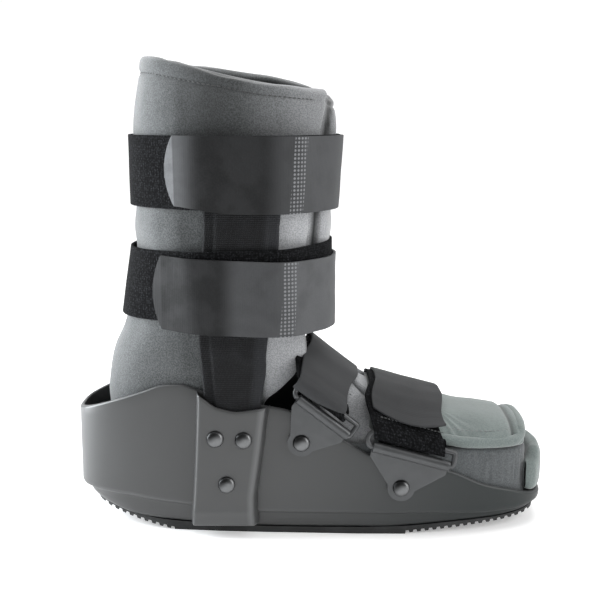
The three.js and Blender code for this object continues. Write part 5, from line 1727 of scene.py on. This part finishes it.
class MakeFootStraps(bpy.types.Operator):
    """Make the webbing, closures, wire rings and brackets over the foot"""

    bl_idname = "boot.make_foot_straps"
    bl_label = "Make Foot Straps"

    def execute(self, context):
        for name, strap in FOOT_STRAPS.items():
            line, crown = strap_line(strap)
            self.webbing(name, strap, line, crown)
            self.closure(name, strap, line, crown)
            self.ring(name, strap)
            self.bracket(name, strap)
        return {"FINISHED"}

    @staticmethod
    def strip(strap, line, crown, width, raised, start, end):
        """place(u, v) on a strip along the line between two distances, which may depend on v."""
        at = strap_frame(strap)

        def place(u, v):
            position = clamp(mix(start(v), end, u), 0, len(line) - 1.001)
            i = int(position)
            y, h, out_y, out_h = (mix(a, b, position - i) for a, b in zip(line[i], line[i + 1]))
            lean = strap["lean"] * smooth(h, RING_RISE, crown)
            offset = raised(position - start(v), v)
            return at(lean + (v - 0.5) * width, y + out_y * offset, h + out_h * offset)

        return place

    def webbing(self, name, strap, line, crown):
        def raised(along, v):
            return 0.25 * soft_noise((along, v * 40, 0), 10, 5)

        strip = self.strip(strap, line, crown, strap["webbing"], raised, lambda v: 0.0, len(line) - 1)
        slope = math.radians(strap["slope"])
        along = Vector((math.cos(slope), 0, -math.sin(slope)))

        def place(u, v):
            """The webbing goes with the closure that pulls it to the back."""
            run = u * (len(line) - 1)
            pulled = 0.5 + 0.5 * smooth(run, 9, 22)
            return strip(u, v) + along * strap["pull"] * pulled * (1 - 0.8 * smooth(run, 45, 75))

        bm = bmesh.new()
        grid(bm, (len(line), 14), place, (len(line), strap["webbing"]))
        bmesh.ops.recalc_face_normals(bm, faces=bm.faces)
        made = piece(f"{name}_strap", bm, loop_webbing(), [f"{name}_webbing"])
        thicken(made, WEBBING_THICKNESS, 0.5)
        sewn = self.strip(strap, line, crown, strap["webbing"], lambda along, v: WEBBING_THICKNESS / 2 + 0.2,
                          lambda v: 0.0, len(line) - 1)
        row = next(i for i, p in enumerate(line) if i > 12 and p[1] > RING_RISE + 9)
        points = [sewn(row / (len(line) - 1), mix(0.04, 0.96, k / 30)) for k in range(31)]
        spots = along_line(points, 2.4)
        stitch_row(f"{name}_strap_stitches", spots, 1.9, 0.35, thread("charcoal", 0.5))

    def closure(self, name, strap, line, crown):
        hook_end = 14
        rise = (WEBBING_THICKNESS + CLOSURE_THICKNESS) / 2 + 1.5 * GAP
        y, h, out_y, out_h = line[hook_end]
        hanging = [(y - out_h * k, h + out_y * k, out_y, out_h) for k in range(hook_end, 0, -1)]
        line = hanging + line[hook_end:]
        first = next(i for i, p in enumerate(line) if p[1] >= strap["start"] + strap["smile"])
        last = max(i for i, p in enumerate(line) if p[0] > 0 and p[1] >= strap["start"])

        def start(v):
            lowered = strap["smile"] * (1 - (2 * v - 1) ** 2) - strap["smile"] * 0.4 * (0.5 - v)
            return first - lowered + strap["slant"] * v

        def raised(along, v):
            flare = strap["flare"] * math.exp(-along / 7) * smooth(v, 0.3, 1.0)
            bend = 0.5 * math.exp(-(((along - 13) / 3.5) ** 2))
            return rise + flare - bend * 0.4 + 0.4 * soft_noise((along, v * 40, 0), 15, 9)

        strip = self.strip(strap, line, crown, strap["closure"], raised, start, last)
        slope = math.radians(strap["slope"])
        along = Vector((math.cos(slope), 0, -math.sin(slope)))

        def place(u, v):
            high = smooth(u, 0, 0.45)
            narrower = (v - 0.5) * strap["taper"] * (1 - high)
            return strip(u, v) + along * (mix(strap["slew"], strap["over"], high) - narrower - 1.0)

        bm = bmesh.new()
        grid(bm, (last - first, 30), place, (last - first, strap["closure"]))
        bmesh.ops.recalc_face_normals(bm, faces=bm.faces)
        looks = {
            "instep": ("instep", 2.3, 2.2, 2.3, 2.0, 9.0, 9.0),
            "forefoot": ("forefoot", 2.2, 2.0, 1.7, 1.5, 9.0, 9.0),
        }[name]
        made = piece(f"{name}_fastener", bm, coated_strap(*looks), [f"{name}_closure"])
        thicken(made, CLOSURE_THICKNESS, 0.4)

    def ring(self, name, strap):
        at = strap_frame(strap)
        half, bow = strap["roll"] / 2 + 1, RING_RISE / 2
        deep = bracket_seat(strap) + BRACKET_ROLL
        path = []
        for end in (1, -1):
            for i in range(13):
                turn = math.pi * i / 12
                s = end * (half + RING_OVERHANG * (strap["front"] if end > 0 else 0.8) * math.sin(turn))
                h = bow - end * bow * math.cos(turn)
                path.append(at(s, -mix(deep, bar_depth(strap), h / RING_RISE), h))
        tube(f"{name}_wire_ring", path, RING_WIRE, satin_metal(), context_sides(), True)
        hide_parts(f"{name}_ring")

    def bracket(self, name, strap):
        at = strap_frame(strap)
        seat = bracket_seat(strap)
        half = strap["roll"] / 2
        curl = BRACKET_ROLL - BRACKET_THICKNESS / 2
        plate = BRACKET_DROP + BRACKET_END
        turns = 1.65 * math.pi
        total = plate + turns * curl

        def half_at(drop):
            straight = 2 * BRACKET_ROLL
            if drop < straight:
                return half
            if drop < BRACKET_DROP:
                share = (drop - straight) / (BRACKET_DROP - straight)
                return mix(half, BRACKET_END, share)
            return math.sqrt(max(BRACKET_END**2 - (drop - BRACKET_DROP) ** 2, 0.01))

        def place(u, v):
            run = v * total
            if run < plate:
                drop = plate * (1 - (run / plate) ** 1.0)
                return at((u - 0.5) * 2 * half_at(drop), -(seat + BRACKET_THICKNESS / 2), -drop)
            turn = (run - plate) / curl
            depth = seat + BRACKET_ROLL - curl * math.cos(turn)
            return at((u - 0.5) * 2 * half, -depth, curl * math.sin(turn))

        bm = bmesh.new()
        grid(bm, (24, 90), place)
        bmesh.ops.recalc_face_normals(bm, faces=bm.faces)
        made = piece(f"{name}_plate", bm, satin_metal(), [f"{name}_bracket"])
        thicken(made, BRACKET_THICKNESS, 0.4)


def context_sides():
    return bpy.context.scene.boot_sizes.ring_sides


class MakeRivets(bpy.types.Operator):
    """Make the domed rivets where the frame has them"""

    bl_idname = "boot.make_rivets"
    bl_label = "Make Rivets"

    def execute(self, context):
        profile = [(0.0, 0.02), (0.35, 0.0), (0.99, 0.0), (1.03, 0.12), (1.0, 0.28), (0.93, 0.5), (0.82, 0.7),
                   (0.66, 0.86), (0.46, 0.96), (0.24, 1.0), (0.0, 1.01)]
        for node in sorted(n for n in frame["nodes"] if n.startswith("rivet")):
            low, high = (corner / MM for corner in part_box(node))
            side = 1 if low.y > 0 else -1
            radius = (high.z - low.z) / 2 * 1.03
            top = high.y if side > 0 else -low.y
            dome = 2.8

            def place(u, v, low=low, high=high, side=side, radius=radius, top=top, dome=dome):
                out, rise = profile[round(v * (len(profile) - 1))]
                turn = 2 * math.pi * u
                middle = (low + high) / 2
                return (middle.x + radius * out * math.cos(turn), side * (top - dome + dome * rise),
                        middle.z + radius * out * math.sin(turn))

            bm = bmesh.new()
            grid(bm, (28, len(profile) - 1), place)
            weld(bm)
            head = piece(node.replace("rivet", "dome_rivet"), bm, polished_metal(), [node])
            # Painted shade over each head's upper left side, as the darker room above would give.
            spots = coordinates(head.data) / MM - np.array((low + high) / 2)
            paint(head, "shadow", smooth_all((spots[:, 2] - 0.8 * spots[:, 0]) / radius, -0.25, 0.85))
        return {"FINISHED"}


class BootPanel(bpy.types.Panel):
    """Lists what makes the boot"""

    bl_idname = "BOOT_PT_pieces"
    bl_label = "Walking Boot"
    bl_space_type = "VIEW_3D"
    bl_region_type = "UI"
    bl_category = "Boot"

    def draw(self, context):
        for operator in OPERATORS:
            self.layout.operator(operator.bl_idname)
        for group in (context.scene.boot_sizes, context.scene.boot_colours):
            for name in group.__annotations__:
                self.layout.prop(group, name)


OPERATORS = (
    MakeStage, MakeShell, MakeSole, MakeUprights, MakeLegWrap, MakeFootLiner, MakeLegStraps, MakeFootStraps,
    MakeRivets,
)
CLASSES = (BootColours, BootSizes, *OPERATORS, BootPanel)


def register():
    for item in CLASSES:
        bpy.utils.register_class(item)
    bpy.types.Scene.boot_colours = bpy.props.PointerProperty(type=BootColours)
    bpy.types.Scene.boot_sizes = bpy.props.PointerProperty(type=BootSizes)


def unregister():
    del bpy.types.Scene.boot_sizes
    del bpy.types.Scene.boot_colours
    for item in reversed(CLASSES):
        bpy.utils.unregister_class(item)


def main():
    register()
    for operator in OPERATORS:
        group, name = operator.bl_idname.split(".")
        getattr(getattr(bpy.ops, group), name)()


if __name__ == "__main__":
    main()
